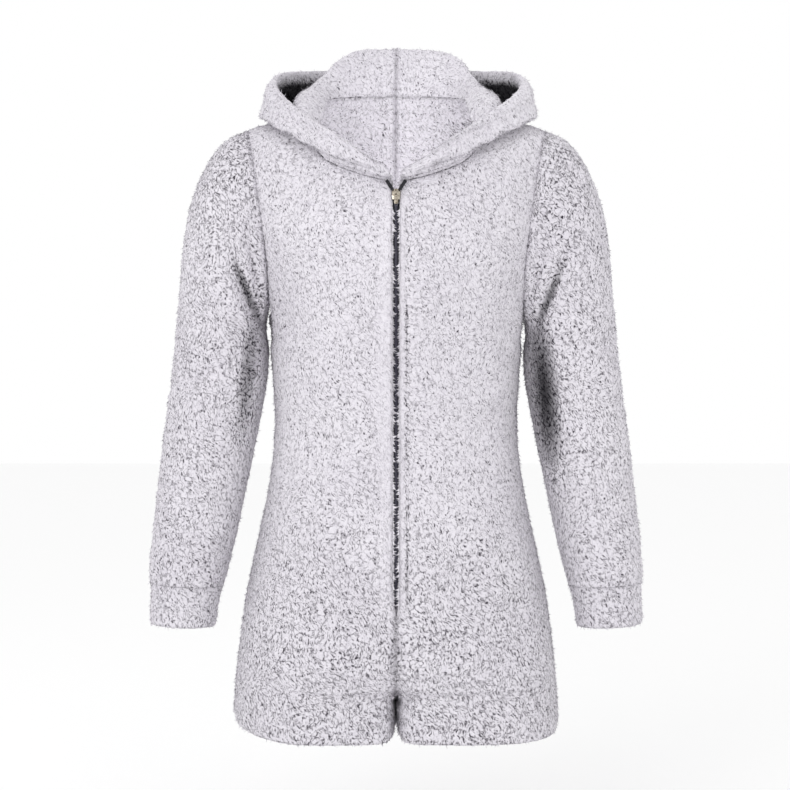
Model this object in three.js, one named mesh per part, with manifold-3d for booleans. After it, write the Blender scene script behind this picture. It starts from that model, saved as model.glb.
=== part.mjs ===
// Short hooded onesie in thick curly fleece, zipped up the front, hollow as when it is worn.
// Millimetres. +Z is up, the front faces -Y, and +X is on the right of a front view.
// The origin is at the base of the wearer's neck, level with the shoulders.
import * as THREE from 'three';
import { mergeVertices } from 'three/addons/utils/BufferGeometryUtils.js';
import Module from 'manifold-3d';

const wasm = await Module();
wasm.setup();

// Cloth
const WALL = 4.5; // knitted backing with its pile
const SEAM_GAP = 0.3; // between two pieces that are sewn together
const HEM_HALF = 6.5; // half the thickness of the hood's rolled edge
const SECTION_POWER = 2.2; // 2 is an ellipse, more is squarer
const INNER_LEG_POWER = 7; // the legs press flat against each other

// Heights of the construction lines
const SHOULDER_TIP_Z = -8;
const UNDERARM_Z = -235;
const ZIP_END_Z = -561;
const CROTCH_Z = -673;
const LEG_HEM_Z = -722;
const SLEEVE_TOP_RING_Z = -262;
const CUFF_SEAM_Z = -547;

// Trunk and legs: half width, reach in front of and behind the side seam, half the slit at the
// centre, and how far the section wraps round the inside of the leg (0 trunk, 1 whole leg)
const FORM = [
  { z: 46, half: 84, front: 40, back: 72, slit: 0.15, wrap: 0 },
  { z: 38, half: 84, front: 40, back: 75, slit: 0.15, wrap: 0 },
  { z: 30, half: 86, front: 42, back: 79, slit: 0.15, wrap: 0 },
  { z: 21, half: 98, front: 44, back: 84, slit: 0.15, wrap: 0 },
  { z: 11, half: 122, front: 47, back: 89, slit: 0.15, wrap: 0 },
  { z: 2, half: 150, front: 52, back: 93, slit: 0.15, wrap: 0 },
  { z: -8, half: 179, front: 60, back: 97, slit: 0.15, wrap: 0 },
  { z: -30, half: 187, front: 80, back: 104, slit: 0.15, wrap: 0 },
  { z: -55, half: 188, front: 96, back: 110, slit: 1, wrap: 0 },
  { z: -82, half: 185, front: 107, back: 115, slit: 4.2, wrap: 0 },
  { z: -120, half: 177, front: 119, back: 118, slit: 4.2, wrap: 0 },
  { z: -160, half: 166, front: 128, back: 119, slit: 4.1, wrap: 0 },
  { z: -200, half: 157, front: 131, back: 116, slit: 4, wrap: 0 },
  { z: -235, half: 152, front: 128, back: 111, slit: 4, wrap: 0 },
  { z: -275, half: 149, front: 120, back: 102, slit: 3.9, wrap: 0 },
  { z: -320, half: 146, front: 113, back: 94, slit: 3.8, wrap: 0 },
  { z: -362, half: 144, front: 109, back: 90, slit: 3.8, wrap: 0 },
  { z: -400, half: 146.5, front: 110, back: 96, slit: 3.7, wrap: 0 },
  { z: -440, half: 153, front: 115, back: 108, slit: 3.6, wrap: 0 },
  { z: -490, half: 163.5, front: 120, back: 122, slit: 3.5, wrap: 0 },
  { z: -535, half: 174, front: 121, back: 131, slit: 3.4, wrap: 0 },
  { z: -561, half: 179, front: 120, back: 133, slit: 3.2, wrap: 0 },
  { z: -575, half: 181, front: 119, back: 133, slit: 0.15, wrap: 0.02 },
  { z: -605, half: 185, front: 117, back: 131, slit: 0.15, wrap: 0.2 },
  { z: -630, half: 188, front: 116, back: 128, slit: 0.15, wrap: 0.5 },
  { z: -648, half: 190, front: 115, back: 125, slit: 0.15, wrap: 0.8 },
  { z: -660, half: 191, front: 115, back: 123, slit: 0.15, wrap: 0.94 },
  { z: -668, half: 191.7, front: 114, back: 121, slit: 0.15, wrap: 0.99 },
  { z: -673, half: 192, front: 114, back: 120, slit: 0.3, wrap: 1 },
  { z: -690, half: 193, front: 113, back: 118, slit: 2.2, wrap: 1 },
  { z: -722, half: 194.5, front: 114, back: 118, slit: 3.6, wrap: 1 },
];

// Rows that the front and the back share along the side seam, from hem to underarm
const SIDE_ROWS = [
  LEG_HEM_Z, -705, -690, CROTCH_Z, -668, -660, -654, -648, -639, -630, -618, -605, -590, -575,
  ZIP_END_Z, -520, -480, -440, -400, -362, -325, -290, -260, UNDERARM_Z,
];

// Front rows above the underarm, up to the zip's top: height at the centre and at the armhole
const FRONT_CHEST_ROWS = [
  { centre: -212, armhole: -216 },
  { centre: -182, armhole: -192 },
  { centre: -148, armhole: -165 },
  { centre: -115, armhole: -138 },
  { centre: -82, armhole: -112 },
];

// Front neckline from the zip's top to the shoulder seam, and the armhole height of each row
const FRONT_NECKLINE = [
  { x: 34, z: -76, armhole: -92 },
  { x: 60, z: -66, armhole: -74 },
  { x: 81, z: -57, armhole: -57 },
  { x: 94, z: -40, armhole: -42 },
  { x: 98, z: -16, armhole: -29 },
  { x: 92, z: 10, armhole: -18 },
  { x: 86, z: 30, armhole: SHOULDER_TIP_Z },
];

// Back rows above the underarm: height at the centre and at the armhole, and how far the row
// has turned into the line of neck and shoulder seams
const BACK_ROWS = [
  { centre: -205, armhole: -208, turned: 0 },
  { centre: -172, armhole: -176, turned: 0 },
  { centre: -138, armhole: -142, turned: 0 },
  { centre: -104, armhole: -110, turned: 0 },
  { centre: -72, armhole: -80, turned: 0.1 },
  { centre: -42, armhole: -54, turned: 0.3 },
  { centre: -14, armhole: -34, turned: 0.55 },
  { centre: 16, armhole: -20, turned: 0.8 },
  { centre: 46, armhole: SHOULDER_TIP_Z, turned: 1 },
];

// Back neckline from the centre to the shoulder seam
const BACK_NECKLINE = [
  { angle: 180, z: 46 },
  { angle: 158, z: 45 },
  { angle: 135, z: 42 },
  { angle: 112, z: 37 },
  { angle: 90, z: 30 },
];

// Armhole edge: distance from the centre, for the front and for the back
const ARMHOLE = [
  { z: -235, front: 152, back: 152 },
  { z: -216, front: 150.2, back: 151.6 },
  { z: -192, front: 150.4, back: 152.4 },
  { z: -165, front: 152.6, back: 155.5 },
  { z: -130, front: 157, back: 161.5 },
  { z: -95, front: 162.5, back: 167 },
  { z: -60, front: 168, back: 172 },
  { z: -30, front: 174.5, back: 176.5 },
  { z: -8, front: 179, back: 179 },
];

// Sleeve below the underarm, and the cuff: side next to the body, outer side, reach to the
// front and back of its middle, and how far forward that middle is
const SLEEVE = [
  { z: -262, inner: 152.2, outer: 266, reach: 62, forward: -4 },
  { z: -296, inner: 151.4, outer: 269.5, reach: 62, forward: -4 },
  { z: -318, inner: 155, outer: 272, reach: 61, forward: -3 },
  { z: -342, inner: 160, outer: 275.5, reach: 60, forward: -2 },
  { z: -390, inner: 169, outer: 281, reach: 57, forward: 1 },
  { z: -438, inner: 179, outer: 285.5, reach: 53.5, forward: 7 },
  { z: -486, inner: 188, outer: 290, reach: 50, forward: 14 },
  { z: -520, inner: 196, outer: 293, reach: 47.5, forward: 20 },
  { z: -538, inner: 200.5, outer: 293, reach: 45.5, forward: 23 },
  { z: -547, inner: 204, outer: 291, reach: 43, forward: 25 },
  { z: -556, inner: 207, outer: 290.5, reach: 41.5, forward: 25.5 },
  { z: -575, inner: 210.5, outer: 291.5, reach: 41, forward: 27 },
  { z: -595, inner: 212, outer: 292, reach: 41, forward: 29 },
];
const SLEEVE_RINGS = [-290, -320, -352, -386, -420, -454, -488, -516, -536, CUFF_SEAM_Z];
const CUFF_RINGS = [CUFF_SEAM_Z, -556, -575, -595];
const CAP_STEPS = [0, 0.1, 0.24, 0.42, 0.64, 1];
const CUFF_TILT = 0.05; // rise of a ring towards the outer side

// Hood, worn down: one row for each section from the centre back to the zip. Each section rises
// from the neck seam to a fold, drops into the pouch, turns at its bottom, and climbs outside
// to the rolled rim. Reach is from the axis of the neck, and azimuth from straight behind.
const NECK_AXIS_Y = -15;
const HOOD = [
  { at: 0, foldR: 104, foldZ: 110, lowR: 146, lowZ: -104, outR: 187, outZ: 4, rimR: 172, rimZ: 93, rimAz: 0 },
  { at: 1, foldR: 104, foldZ: 107, lowR: 146, lowZ: -92, outR: 187, outZ: 6, rimR: 172, rimZ: 93, rimAz: 21 },
  { at: 2, foldR: 105, foldZ: 92, lowR: 148, lowZ: -52, outR: 184, outZ: 8, rimR: 168, rimZ: 88, rimAz: 39 },
  { at: 3, foldR: 106, foldZ: 60, lowR: 142, lowZ: 0, outR: 176, outZ: 17, rimR: 160, rimZ: 80, rimAz: 57 },
  { at: 4, foldR: 109, foldZ: 42, lowR: 138, lowZ: 10, outR: 168, outZ: 14, rimR: 152, rimZ: 65, rimAz: 75 },
  { at: 5, foldR: 113, foldZ: 26, lowR: 134, lowZ: 4, outR: 162, outZ: 3, rimR: 144, rimZ: 42, rimAz: 92 },
  { at: 6, foldR: 116, foldZ: 4, lowR: 131, lowZ: -14, outR: 149, outZ: -15, rimR: 130, rimZ: 20, rimAz: 106 },
  { at: 7, foldR: 113, foldZ: -28, lowR: 122, lowZ: -34, outR: 133, outZ: -28, rimR: 119, rimZ: 1, rimAz: 119 },
  { at: 8, foldR: 109, foldZ: -53, lowR: 115, lowZ: -49, outR: 120, outZ: -39, rimR: 110, rimZ: -18, rimAz: 133 },
  { at: 9, foldR: 102, foldZ: -62, lowR: 107, lowZ: -57, outR: 110, outZ: -48, rimR: 103, rimZ: -36, rimAz: 148 },
  { at: 10, foldR: 95, foldZ: -73, lowR: 98, lowZ: -69, outR: 100, outZ: -63, rimR: 96, rimZ: -56, rimAz: 162 },
  { at: 11, foldR: 91.5, foldZ: -80, lowR: 93, lowZ: -78, outR: 94, outZ: -75, rimR: 93, rimZ: -71, rimAz: 176.5 },
];
const HOOD_STEPS = 22;
const RIM_STEPS = 3; // steps of a section that belong to the rolled edge
const POUCH_STEP = 5; // steps before this one rise from the neck seam
const NECK_CLEAR = 2.2; // between the hood and the cloth beside its seam
const POUCH_CLEAR = 7; // between the pouch and the back and shoulders that it rests on
const REST_PASSES = 4; // small lifts that bring a point of the hood clear

// Broad folds: where each starts and ends on the front or the back, its depth and half breadth
const FOLDS = [
  { face: 'front', x0: 150, z0: -165, x1: 118, z1: -262, depth: 5, breadth: 13 },
  { face: 'front', x0: 132, z0: -345, x1: 60, z1: -372, depth: 3, breadth: 16 },
  { face: 'back', x0: 150, z0: -170, x1: 112, z1: -268, depth: 5, breadth: 14 },
  { face: 'back', x0: 128, z0: -352, x1: 30, z1: -372, depth: 5, breadth: 15 },
  { face: 'back', x0: 120, z0: -392, x1: 34, z1: -402, depth: 4, breadth: 13 },
  { face: 'back', x0: 110, z0: -650, x1: 30, z1: -640, depth: 4, breadth: 14 },
];

const FRONT_COLUMNS = 8;

// Zip: a coil chain between two woven tapes, its slider, bail and pull tab
const CHAIN_HALF = 2.9;
const CHAIN_DEPTH = 2.4;
const CHAIN_TOP_Z = -101;
const TAPE_WIDTH = 14;
const TAPE_DEPTH = 0.8;
const TAPE_PARTS_Z = -116; // the two tapes part above this
const ZIP_END_REACH = 6; // how far each tape's top lies from the centre
const ZIP_END = { width: 3.8, depth: 1.8, length: 12.5, lean: 33, x: 7.5, z: -86, clear: 0.7 };
const SLIDER = {
  z: -97, width: 9.6, tail: 8.4, height: 13, plate: 1.4, bridge: 2.4, flangeWidth: 0.7, flange: 1.8,
  backFace: 5.9,
};
const BAIL = { reach: 3.6, wire: 0.8, rise: 2.9, width: 1.6, sunk: 0.3 };
const PULL = { width: 5, length: 13.5, depth: 1.2, bar: 1.2, hole: 2.8, holeLength: 3.9, lift: 1.3 };

// Value of a table's column at a height, as a smooth curve that never overshoots its rows
function column(rows, key, at = 'z') {
  const sorted = [...rows].sort((a, b) => a[at] - b[at]);
  const xs = sorted.map((row) => row[at]);
  const ys = sorted.map((row) => row[key]);
  const steps = xs.slice(1).map((x, i) => (ys[i + 1] - ys[i]) / (x - xs[i]));
  const slopes = ys.map((_, i) => {
    if (i === 0) return steps[0];
    if (i === steps.length) return steps[i - 1];
    if (steps[i - 1] * steps[i] <= 0) return 0;
    return (2 * steps[i - 1] * steps[i]) / (steps[i - 1] + steps[i]);
  });
  return (value) => {
    const x = THREE.MathUtils.clamp(value, xs[0], xs[xs.length - 1]);
    let i = 0;
    while (i < steps.length - 1 && x > xs[i + 1]) i += 1;
    const h = xs[i + 1] - xs[i];
    const t = (x - xs[i]) / h;
    return ys[i] * (1 + 2 * t) * (1 - t) ** 2 + slopes[i] * h * t * (1 - t) ** 2
      + ys[i + 1] * t * t * (3 - 2 * t) + slopes[i + 1] * h * t * t * (t - 1);
  };
}

const form = Object.fromEntries(
  ['half', 'front', 'back', 'slit', 'wrap'].map((key) => [key, column(FORM, key)]),
);
const armhole = { front: column(ARMHOLE, 'front'), back: column(ARMHOLE, 'back') };
const sleeve = Object.fromEntries(
  ['inner', 'outer', 'reach', 'forward'].map((key) => [key, column(SLEEVE, key)]),
);

// Sine and cosine bent to the section's squarer outline, keeping their signs
const bend = (value, power) => Math.sign(value) * Math.abs(value) ** (2 / power);

// Point of the outer surface. The angle is 0 at the front, 90 at the side seam, 180 behind.
function formPoint(angle, z) {
  const wrap = form.wrap(z);
  const inner = z <= CROTCH_Z ? form.slit(z) : 0;
  const across = (form.half(z) - inner) / (1 + wrap);
  const middle = form.half(z) - across;
  const radians = THREE.MathUtils.degToRad(angle);
  const reach = Math.cos(radians) > 0 ? form.front(z) : form.back(z);
  const power = Math.sin(radians) < 0 ? INNER_LEG_POWER : SECTION_POWER;
  return new THREE.Vector3(
    middle + across * bend(Math.sin(radians), power),
    -reach * bend(Math.cos(radians), power),
    z,
  );
}

// Outward direction of the outer surface
function formNormal(angle, z) {
  const turn = 0.5;
  const climb = 0.5;
  const round = formPoint(angle + turn, z).sub(formPoint(angle - turn, z));
  const up = formPoint(angle, z + climb).sub(formPoint(angle, z - climb));
  return round.cross(up).normalize();
}

// Angle at which the section passes a given distance from the centre
function angleAt(x, z, face) {
  const wrap = form.wrap(z);
  const across = form.half(z) / (1 + wrap);
  const sine = THREE.MathUtils.clamp((x - (form.half(z) - across)) / across, -1, 1);
  const angle = THREE.MathUtils.radToDeg(
    Math.asin(Math.sign(sine) * Math.abs(sine) ** ((sine < 0 ? INNER_LEG_POWER : SECTION_POWER) / 2)),
  );
  return face === 'front' ? angle : 180 - angle;
}

// Angle of the centre seam, which runs on down the inside of the leg
function centreAngle(z, face) {
  const wrap = form.wrap(z);
  if (z <= CROTCH_Z) return face === 'front' ? -90 : 270;
  if (wrap > 0) return angleAt(form.slit(z), z, face);
  return face === 'front' ? angleAt(form.slit(z), z, face) : 180;
}

// How far the broad folds sink the cloth at a point, fading out towards the piece's edges
function foldDepth(point, face, edgeFade) {
  let depth = 0;
  for (const fold of FOLDS.filter((row) => row.face === face)) {
    const along = new THREE.Vector2(fold.x1 - fold.x0, fold.z1 - fold.z0);
    const offset = new THREE.Vector2(point.x - fold.x0, point.z - fold.z0);
    const t = THREE.MathUtils.clamp(offset.dot(along) / along.lengthSq(), 0, 1);
    const distance = offset.addScaledVector(along, -t).length();
    depth += fold.depth * Math.exp(-((distance / fold.breadth) ** 2)) * Math.sin(Math.PI * (0.1 + 0.8 * t));
  }
  return depth * edgeFade;
}

// Closed wall between an outer and an inner grid of points. Rows may close into a ring.
function wall(outer, inner, ring = false) {
  const rows = outer.length;
  const columns = outer[0].length;
  const positions = [...outer.flat(), ...inner.flat()].flatMap((point) => point.toArray());
  const triangles = [];
  const id = (layer, i, j) => layer * rows * columns + i * columns + (j % columns);
  const quad = (a, b, c, d) => triangles.push(a, b, c, a, c, d);
  const corner = (k) => new THREE.Vector3().fromArray(positions, k * 3);
  // Two pieces that share an edge both split it from its higher outer corner
  const edgeQuad = (a, b, c, d) => {
    const otherOuter = b < rows * columns ? b : d;
    return corner(a).z > corner(otherOuter).z ? quad(a, b, c, d) : quad(b, c, d, a);
  };
  const spans = ring ? columns : columns - 1;
  for (let i = 0; i < rows - 1; i += 1) {
    for (let j = 0; j < spans; j += 1) {
      quad(id(0, i, j), id(0, i, j + 1), id(0, i + 1, j + 1), id(0, i + 1, j));
      quad(id(1, i, j), id(1, i + 1, j), id(1, i + 1, j + 1), id(1, i, j + 1));
    }
    if (!ring) {
      edgeQuad(id(0, i, 0), id(0, i + 1, 0), id(1, i + 1, 0), id(1, i, 0));
      edgeQuad(id(0, i, spans), id(1, i, spans), id(1, i + 1, spans), id(0, i + 1, spans));
    }
  }
  const top = rows - 1;
  for (let j = 0; j < spans; j += 1) {
    edgeQuad(id(0, 0, j), id(1, 0, j), id(1, 0, j + 1), id(0, 0, j + 1));
    edgeQuad(id(0, top, j), id(0, top, j + 1), id(1, top, j + 1), id(1, top, j));
  }
  const geometry = new THREE.BufferGeometry();
  geometry.setAttribute('position', new THREE.Float32BufferAttribute(positions, 3));
  geometry.setIndex(signedVolume(positions, triangles) < 0 ? triangles.reverse() : triangles);
  geometry.computeVertexNormals();
  return geometry;
}

function signedVolume(positions, triangles) {
  const corner = (k) => new THREE.Vector3().fromArray(positions, triangles[k] * 3);
  let volume = 0;
  for (let k = 0; k < triangles.length; k += 3) {
    volume += corner(k).dot(corner(k + 1).cross(corner(k + 2))) / 6;
  }
  return volume;
}

// Pull a grid's open edges in by half a seam gap
function seamAllowance(grid, edges) {
  const pulled = grid.map((row) => row.map((point) => point.clone()));
  const last = grid.length - 1;
  const end = grid[0].length - 1;
  const pull = (i, j, ni, nj) => {
    const inward = grid[ni][nj].clone().sub(grid[i][j]).setLength(SEAM_GAP / 2);
    pulled[i][j].add(inward);
  };
  for (let j = 0; j <= end; j += 1) {
    if (edges.includes('bottom')) pull(0, j, 1, j);
    if (edges.includes('top')) pull(last, j, last - 1, j);
  }
  for (let i = 0; i <= last; i += 1) {
    if (edges.includes('inner')) pull(i, 0, i, 1);
    if (edges.includes('outer')) pull(i, end, i, end - 1);
  }
  return pulled;
}

// Each row of a panel as a list of angles and heights, from the centre to the side
function evenRow(from, to, columns) {
  return Array.from({ length: columns + 1 }, (_, j) => ({
    angle: THREE.MathUtils.lerp(from.angle, to.angle, j / columns),
    z: THREE.MathUtils.lerp(from.z, to.z, j / columns),
  }));
}

function frontRows() {
  const rows = SIDE_ROWS.map((z) => evenRow(
    { angle: centreAngle(z, 'front'), z }, { angle: 90, z }, FRONT_COLUMNS,
  ));
  for (const row of FRONT_CHEST_ROWS) {
    rows.push(evenRow(
      { angle: centreAngle(row.centre, 'front'), z: row.centre },
      { angle: angleAt(armhole.front(row.armhole), row.armhole, 'front'), z: row.armhole },
      FRONT_COLUMNS,
    ));
  }
  for (const row of FRONT_NECKLINE) {
    rows.push(evenRow(
      { angle: angleAt(row.x, row.z, 'front'), z: row.z },
      { angle: angleAt(armhole.front(row.armhole), row.armhole, 'front'), z: row.armhole },
      FRONT_COLUMNS,
    ));
  }
  return rows;
}

function backRows() {
  const neck = BACK_NECKLINE.length - 1;
  const columns = neck + FRONT_COLUMNS;
  const neckPoint = BACK_NECKLINE[neck];
  const shoulder = evenRow(neckPoint, { angle: 90, z: SHOULDER_TIP_Z }, FRONT_COLUMNS);
  const topLine = [...BACK_NECKLINE.slice(0, neck), ...shoulder];
  const rows = SIDE_ROWS.map((z) => evenRow(
    { angle: centreAngle(z, 'back'), z }, { angle: 90, z }, columns,
  ));
  for (const row of BACK_ROWS) {
    const end = { angle: angleAt(armhole.back(row.armhole), row.armhole, 'back'), z: row.armhole };
    const level = evenRow({ angle: 180, z: row.centre }, end, columns);
    rows.push(level.map((point, j) => {
      const reach = THREE.MathUtils.lerp(point.angle, topLine[j].angle, row.turned);
      const drop = topLine[j].z - THREE.MathUtils.lerp(topLine[0].z, SHOULDER_TIP_Z, j / columns);
      const last = j === columns;
      return { angle: last ? end.angle : reach, z: last ? end.z : point.z + drop * row.turned };
    }));
  }
  return rows;
}

// Outer and inner grids of a panel
function panel(rows, face) {
  const outer = rows.map((row, i) => row.map(({ angle, z }, j) => {
    const point = formPoint(angle, z);
    if (face === 'front' && j === 0 && z > CROTCH_Z && i < rows.length - FRONT_NECKLINE.length) {
      point.x = form.slit(z) - SEAM_GAP / 2;
    }
    if (j === 0 && point.x < SEAM_GAP / 2) point.x = 0;
    return point;
  }));
  const normals = rows.map((row, i) => row.map(({ angle, z }, j) => {
    const normal = formNormal(angle, z);
    const onCentre = j === 0 && form.wrap(z) < 0.02 && i < SIDE_ROWS.length + BACK_ROWS.length;
    if (onCentre && outer[i][j].x < 5) normal.setX(0).normalize();
    return normal;
  }));
  const last = rows[0].length - 1;
  outer.forEach((row, i) => row.forEach((point, j) => {
    const across = Math.min(j, last - j) / 2;
    const upward = Math.min(i, rows.length - 1 - i) / 2;
    const fade = Math.min(1, across) * Math.min(1, upward);
    point.addScaledVector(normals[i][j], -foldDepth(point, face, fade));
  }));
  const inner = outer.map((row, i) => row.map((point, j) => (
    point.clone().addScaledVector(normals[i][j], -WALL)
  )));
  return { outer, inner, normals };
}

// Where two pieces meet at an angle, their shared edge leans half way between their walls
function mitre(normalA, normalB) {
  const direction = normalA.clone().add(normalB);
  const length = Math.max(direction.length(), 0.5);
  return direction.normalize().multiplyScalar(-Math.min(WALL * 2 / length, WALL * 1.5));
}

function sleeveRing(z, stations) {
  const middle = (sleeve.inner(z) + sleeve.outer(z)) / 2;
  const across = (sleeve.outer(z) - sleeve.inner(z)) / 2;
  return stations.map((turn) => {
    const side = Math.cos(turn * 2 * Math.PI);
    const level = z + (z <= CUFF_SEAM_Z ? CUFF_TILT : 0) * -across * side;
    return new THREE.Vector3(
      middle - across * side,
      -sleeve.forward(z) - sleeve.reach(z) * Math.sin(turn * 2 * Math.PI),
      level,
    );
  });
}

// Normals of a ring grid, from its neighbours
function ringNormals(grid) {
  const columns = grid[0].length;
  return grid.map((row, i) => row.map((_, j) => {
    const next = row[(j + 1) % columns];
    const previous = row[(j + columns - 1) % columns];
    const above = grid[Math.max(i - 1, 0)][j];
    const below = grid[Math.min(i + 1, grid.length - 1)][j];
    return next.clone().sub(previous).cross(above.clone().sub(below)).normalize();
  }));
}

function sleeveGrids(front, back) {
  const firstFront = SIDE_ROWS.length - 1;
  const frontEdge = [];
  for (let i = firstFront; i < front.outer.length; i += 1) {
    frontEdge.push({ point: front.outer[i].at(-1), normal: front.normals[i].at(-1) });
  }
  const backEdge = [];
  for (let i = back.outer.length - 2; i > firstFront; i -= 1) {
    backEdge.push({ point: back.outer[i].at(-1), normal: back.normals[i].at(-1) });
  }
  const edge = [...frontEdge, ...backEdge];
  const frontSpan = frontEdge.length - 1;
  const turns = edge.map((_, j) => (
    j <= frontSpan ? (0.5 * j) / frontSpan : 0.5 + (0.5 * (j - frontSpan)) / (edge.length - frontSpan)
  ));
  const top = sleeveRing(SLEEVE_TOP_RING_Z, turns);
  const cap = CAP_STEPS.map((t) => edge.map(({ point }, j) => {
    const upness = Math.sin(Math.PI * turns[j]) ** 1.5;
    const facing = Math.sin(2 * Math.PI * turns[j]);
    const span = top[j].distanceTo(point);
    const leave = new THREE.Vector3(
      THREE.MathUtils.lerp(0.06, 1, upness), -0.3 * facing, THREE.MathUtils.lerp(-1, -0.12, upness),
    ).setLength(span * THREE.MathUtils.lerp(0.9, 0.75, upness));
    const arrive = new THREE.Vector3(0, 0, -span * 0.9);
    return point.clone().multiplyScalar((1 + 2 * t) * (1 - t) ** 2)
      .addScaledVector(leave, t * (1 - t) ** 2)
      .addScaledVector(top[j], t * t * (3 - 2 * t))
      .addScaledVector(arrive, t * t * (t - 1));
  }));
  const outer = [...cap, ...SLEEVE_RINGS.map((z) => sleeveRing(z, turns))];
  const normals = ringNormals(outer);
  const rims = edge.map(({ normal }, j) => mitre(normal, normals[0][j]));
  const inner = outer.map((row, i) => row.map((point, j) => (
    i === 0 ? point.clone().add(rims[j]) : point.clone().addScaledVector(normals[i][j], -WALL)
  )));
  return { outer, inner, normals, rims, turns, frontSpan };
}

// The panel's armhole edge takes the same lean as the sleeve's
function leanArmhole(panelGrids, rims, order) {
  order.forEach(({ row, station }) => {
    const end = panelGrids.outer[row].length - 1;
    panelGrids.inner[row][end].copy(panelGrids.outer[row][end]).add(rims[station]);
  });
}

function cuffGrids(turns) {
  const outer = CUFF_RINGS.map((z) => sleeveRing(z, turns));
  const normals = ringNormals(outer);
  const inner = outer.map((row, i) => row.map((point, j) => (
    point.clone().addScaledVector(normals[i][j], -WALL)
  )));
  return { outer, inner };
}

// Neck seam from the centre back to the zip's top: outer edge point, outward direction, and the
// panels whose inner edges meet there
function neckSeam(front, back) {
  const seam = [];
  const top = back.outer.length - 1;
  const frontTop = front.outer.length - 1;
  for (let j = 0; j < BACK_NECKLINE.length; j += 1) {
    const corners = [back.inner[top][j]];
    if (j === BACK_NECKLINE.length - 1) corners.push(front.inner[frontTop][0]);
    seam.push({ outer: back.outer[top][j], normal: back.normals[top][j], corners });
  }
  for (let i = frontTop - 1; i >= frontTop - FRONT_NECKLINE.length; i -= 1) {
    seam.push({ outer: front.outer[i][0], normal: front.normals[i][0], corners: [front.inner[i][0]] });
  }
  return seam;
}

// Distance of a point from the trunk's outer surface, for points outside it, and its direction
function standOff(point) {
  const depthAt = (p) => {
    const reach = p.y < 0 ? form.front(p.z) : form.back(p.z);
    const across = Math.abs(p.x) / form.half(p.z);
    const away = Math.abs(p.y) / reach;
    return (across ** SECTION_POWER + away ** SECTION_POWER) ** (1 / SECTION_POWER);
  };
  const step = 0.5;
  const gradient = new THREE.Vector3(...['x', 'y', 'z'].map((axis) => {
    const ahead = point.clone();
    const behind = point.clone();
    ahead[axis] += step;
    behind[axis] -= step;
    return (depthAt(ahead) - depthAt(behind)) / (2 * step);
  }));
  return { distance: (depthAt(point) - 1) / gradient.length(), direction: gradient.normalize() };
}

// Lift a point of the hood off the cloth that it rests on
function restOn(point, clearance) {
  const lifted = point.clone();
  for (let pass = 0; pass < REST_PASSES; pass += 1) {
    if (lifted.z > FORM[0].z) return lifted;
    const { distance, direction } = standOff(lifted);
    if (distance < clearance) lifted.addScaledVector(direction, (clearance - distance) * 0.8);
  }
  return lifted;
}

function hoodSection(row, start) {
  const seamAz = Math.atan2(start.x, start.y - NECK_AXIS_Y);
  const seamR = Math.hypot(start.x, start.y - NECK_AXIS_Y);
  const rimAz = THREE.MathUtils.degToRad(row.rimAz);
  const drop = row.foldZ - row.lowZ;
  const guide = [
    { r: seamR, z: start.z, t: 0 },
    {
      r: THREE.MathUtils.lerp(seamR, row.foldR, 0.3),
      z: THREE.MathUtils.lerp(start.z, row.foldZ, 0.6),
      t: 0.08,
    },
    { r: row.foldR, z: row.foldZ, t: 0.16 },
    { r: THREE.MathUtils.lerp(row.foldR, row.lowR, 0.38), z: row.foldZ - 0.1 * drop, t: 0.24 },
    { r: THREE.MathUtils.lerp(row.foldR, row.lowR, 0.55), z: row.foldZ - 0.55 * drop, t: 0.4 },
    { r: row.lowR, z: row.lowZ, t: 0.56 },
    { r: row.outR, z: row.outZ, t: 0.8 },
    { r: row.rimR, z: row.rimZ, t: 1 },
  ];
  const path = new THREE.CatmullRomCurve3(
    guide.map(({ r, z, t }) => {
      const azimuth = THREE.MathUtils.lerp(seamAz, rimAz, t);
      return new THREE.Vector3(r * Math.sin(azimuth), NECK_AXIS_Y + r * Math.cos(azimuth), z);
    }),
    false,
    'centripetal',
  );
  return path.getSpacedPoints(HOOD_STEPS).map((point, k) => (
    k === 0 ? point : restOn(point, WALL / 2 + (k < POUCH_STEP ? NECK_CLEAR : POUCH_CLEAR))
  ));
}

function hoodGrids(seam) {
  const middle = HOOD.map((row) => hoodSection(row, seam[row.at].outer));
  const last = middle.length - 1;
  const outer = [];
  const inner = [];
  middle.forEach((line, i) => {
    outer.push([]);
    inner.push([]);
    line.forEach((point, k) => {
      const along = line[Math.min(k + 1, HOOD_STEPS)].clone().sub(line[Math.max(k - 1, 0)]);
      const round = middle[Math.min(i + 1, last)][k].clone().sub(middle[Math.max(i - 1, 0)][k]);
      const normal = along.cross(round).normalize();
      if (i === 0) normal.setX(0).normalize();
      if (k === 0) {
        const rim = mitre(seam[i].normal, normal);
        if (i === 0 || i === last) rim.setX(0);
        seam[i].corners.forEach((corner) => corner.copy(point).add(rim));
        outer[i].push(point.clone());
        inner[i].push(point.clone().add(rim));
        return;
      }
      const fromRim = HOOD_STEPS - k;
      const narrow = THREE.MathUtils.lerp(0.5, 1, Math.min(1, (last - i) / 3));
      const hem = fromRim > 0 && fromRim <= RIM_STEPS;
      const half = hem ? Math.max(WALL / 2, HEM_HALF * narrow) : WALL / 2;
      const lean = k === 1 ? WALL / 4 : 0;
      outer[i].push(point.clone().addScaledVector(normal, half - lean));
      inner[i].push(point.clone().addScaledVector(normal, -half - lean));
    });
  });
  return { outer, inner };
}

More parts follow.
